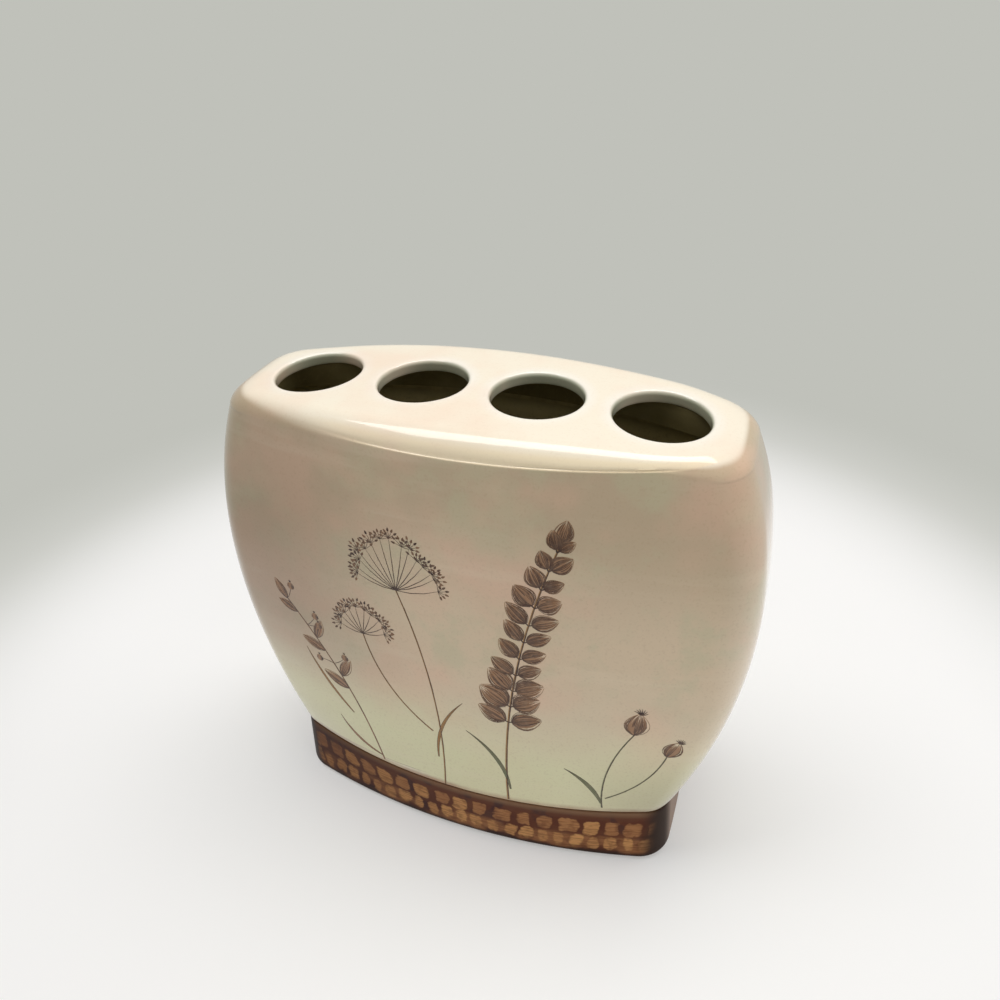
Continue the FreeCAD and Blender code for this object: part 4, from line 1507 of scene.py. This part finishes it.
@built_once("materials", "floor_paper")
def floor_material(name):
    """Plain pale paper that turns into the colour of the backdrop away from the holder."""
    stage = bpy.context.scene.holder_stage
    paint = Surface(name)
    paint.set_shader(Base_Color=stage.floor_colour, Roughness=0.85, Specular_IOR_Level=0.1)
    away = paint.node("VectorMath", {0: paint.place}, operation="LENGTH").outputs["Value"]
    share = paint.fade(away, stage.paper_reach, stage.paper_reach * 1.9, stage.paper_glow, 1.0)
    far = paint.fade(away, stage.paper_reach, stage.paper_reach * 1.6)
    seen = paint.mix(far, tone("FFFFFF"), stage.wall_colour)
    glow = paint.node("Emission", {"Color": seen, "Strength": 1.0})
    factor = paint.times(share, seen_directly(paint))
    mixed = paint.node("MixShader", {0: factor, 1: paint.shader.outputs["BSDF"], 2: glow.outputs["Emission"]})
    paint.feed(paint.output.inputs["Surface"], mixed.outputs["Shader"])
    return paint.material


def studio_world():
    """Soft even light, behind which the camera sees the backdrop's colour."""
    stage = bpy.context.scene.holder_stage
    world = bpy.data.worlds.new("studio")
    world.use_nodes = True
    world.node_tree.nodes.clear()
    paint = Finish(world.node_tree)
    light = paint.node("Background", {"Color": stage.sky_colour, "Strength": stage.sky_strength})
    wall = paint.node("Background", {"Color": stage.wall_colour, "Strength": 1.0})
    mixed = paint.node("MixShader", {0: seen_directly(paint), 1: light.outputs["Background"],
                                     2: wall.outputs["Background"]})
    paint.node("OutputWorld", {"Surface": mixed.outputs["Shader"]})
    return world


# Stage

FLOOR_SIZE = 12.0
SENSOR_WIDTH = 36.0
CLIP_START = 5 * MM

# Place, aim, width, height and power of each softbox, and whether reflections show it
SOFTBOXES = {
    "ceiling_softbox": ((-0.08, 0.08, 0.90), (-0.03, 0.0, 0.08), 1.08, 0.38, 6.7, True),
    "side_softbox": ((0.70, 0.40, 0.50), (0.0, 0.0, 0.06), 0.5, 0.4, 1.3, False),
    "edge_softbox": ((0.80, -0.42, 0.22), (0.0, 0.0, 0.06), 0.4, 0.4, 1.1, False),
}


def hang_softbox(name, place, aim, width, height, power, mirrored):
    bpy.ops.object.light_add(type="AREA", location=place)
    light = bpy.context.object
    light.name = name
    light.data.shape = "RECTANGLE"
    light.data.size = width
    light.data.size_y = height
    light.data.energy = power
    light.visible_glossy = mirrored
    light.rotation_euler = (Vector(aim) - Vector(place)).to_track_quat("-Z", "Y").to_euler()


def set_camera():
    """Stands the camera at its place, with its aim and its roll."""
    scene = bpy.context.scene
    stage = scene.holder_stage
    forward = Vector(stage.camera_aim).normalized()
    right = forward.cross(Vector((0.0, 0.0, 1.0))).normalized()
    facing = Matrix((right, right.cross(forward), -forward)).transposed().to_4x4()
    turn = Matrix.Rotation(stage.camera_roll, 4, -forward)
    data = bpy.data.cameras.new("photo_camera")
    data.lens = stage.camera_lens
    data.sensor_width = SENSOR_WIDTH
    data.clip_start = CLIP_START
    scene.camera = bpy.data.objects.new("photo_camera", data)
    scene.collection.objects.link(scene.camera)
    scene.camera.matrix_world = Matrix.Translation(stage.camera_place) @ turn @ facing


# Operators

def glaze_piece(modelled, outer, slot, node):
    """Glazes a piece outside and inside, and puts it in its node's place."""
    piece, inside_faces = modelled
    piece.data.materials.append(outer)
    piece.data.materials.append(inside_glaze())
    for face in piece.data.polygons:
        face.material_index = int(face.index in inside_faces)
    dress(piece, slot, node)


class HOLDER_OT_body(bpy.types.Operator):
    """Model the barrel-shaped body with its lens outline"""

    bl_idname = "holder.body"
    bl_label = "Body"
    bl_options = {"REGISTER", "UNDO"}

    def execute(self, context):
        glaze_piece(model_body(), holder_glaze(), "body_glaze", "body_shell")
        return {"FINISHED"}


class HOLDER_OT_deck(bpy.types.Operator):
    """Model the arched deck with its shoulder and its brush holes"""

    bl_idname = "holder.deck"
    bl_label = "Deck"
    bl_options = {"REGISTER", "UNDO"}

    def execute(self, context):
        glaze_piece(model_deck(), holder_glaze(), "deck_glaze", "top_deck")
        return {"FINISHED"}


class HOLDER_OT_foot(bpy.types.Operator):
    """Model the brown foot with its floor, collar and recess"""

    bl_idname = "holder.foot"
    bl_label = "Foot"
    bl_options = {"REGISTER", "UNDO"}

    def execute(self, context):
        glaze_piece(model_foot(), foot_glaze(), "foot_glaze", "foot_plinth")
        return {"FINISHED"}


class HOLDER_OT_print(bpy.types.Operator):
    """Draw the botanical print on the front of the body"""

    bl_idname = "holder.print"
    bl_label = "Print"
    bl_options = {"REGISTER", "UNDO"}

    def execute(self, context):
        piece = model_print()
        piece.data.materials.append(print_ink())
        dress(piece, "body_glaze")
        return {"FINISHED"}


class HOLDER_OT_fittings(bpy.types.Operator):
    """Give the pads their rubber and the beads their bonding compound"""

    bl_idname = "holder.fittings"
    bl_label = "Pads and Beads"
    bl_options = {"REGISTER", "UNDO"}

    def execute(self, context):
        for name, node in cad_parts.items():
            if name.startswith("foot_pad") or name.endswith("bond_bead"):
                make = rubber_material if name.startswith("foot_pad") else bond_material
                node.data.materials.clear()
                node.data.materials.append(make())
        return {"FINISHED"}


class HOLDER_OT_stage(bpy.types.Operator):
    """Lay the floor, hang the lights and set up the camera"""

    bl_idname = "holder.stage"
    bl_label = "Stage"
    bl_options = {"REGISTER", "UNDO"}

    def execute(self, context):
        start_piece()
        bpy.ops.mesh.primitive_plane_add(size=FLOOR_SIZE)
        floor = context.object
        floor.name = "floor"
        floor.data.materials.append(floor_material())
        context.scene.world = studio_world()
        for name, settings in SOFTBOXES.items():
            hang_softbox(name, *settings)
        set_camera()
        context.scene.view_settings.view_transform = "Standard"
        return {"FINISHED"}


class HOLDER_PT_panel(bpy.types.Panel):
    """Lists the pieces of the holder"""

    bl_label = "Toothbrush Holder"
    bl_idname = "HOLDER_PT_panel"
    bl_space_type = "VIEW_3D"
    bl_region_type = "UI"
    bl_category = "Holder"

    def draw(self, context):
        for operator in PIECES:
            self.layout.operator(operator.bl_idname)
        for group in GROUPS:
            settings = getattr(context.scene, group)
            box = self.layout.box()
            for name in settings.bl_rna.properties.keys():
                if name not in ("rna_type", "name"):
                    box.prop(settings, name)


GROUPS = {
    "holder_form": HolderForm,
    "holder_glaze": HolderGlaze,
    "holder_print": HolderPrint,
    "holder_stage": HolderStage,
}
PIECES = (HOLDER_OT_body, HOLDER_OT_deck, HOLDER_OT_foot, HOLDER_OT_print, HOLDER_OT_fittings,
          HOLDER_OT_stage)


def register():
    for group, kind in GROUPS.items():
        bpy.utils.register_class(kind)
        setattr(bpy.types.Scene, group, PointerProperty(type=kind))
    for piece in (*PIECES, HOLDER_PT_panel):
        bpy.utils.register_class(piece)


def unregister():
    for piece in reversed((*PIECES, HOLDER_PT_panel)):
        bpy.utils.unregister_class(piece)
    for group, kind in GROUPS.items():
        delattr(bpy.types.Scene, group)
        bpy.utils.unregister_class(kind)


def main():
    register()
    bpy.ops.holder.body()
    bpy.ops.holder.deck()
    bpy.ops.holder.foot()
    bpy.ops.holder.print()
    bpy.ops.holder.fittings()
    bpy.ops.holder.stage()


if __name__ == "__main__":
    main()
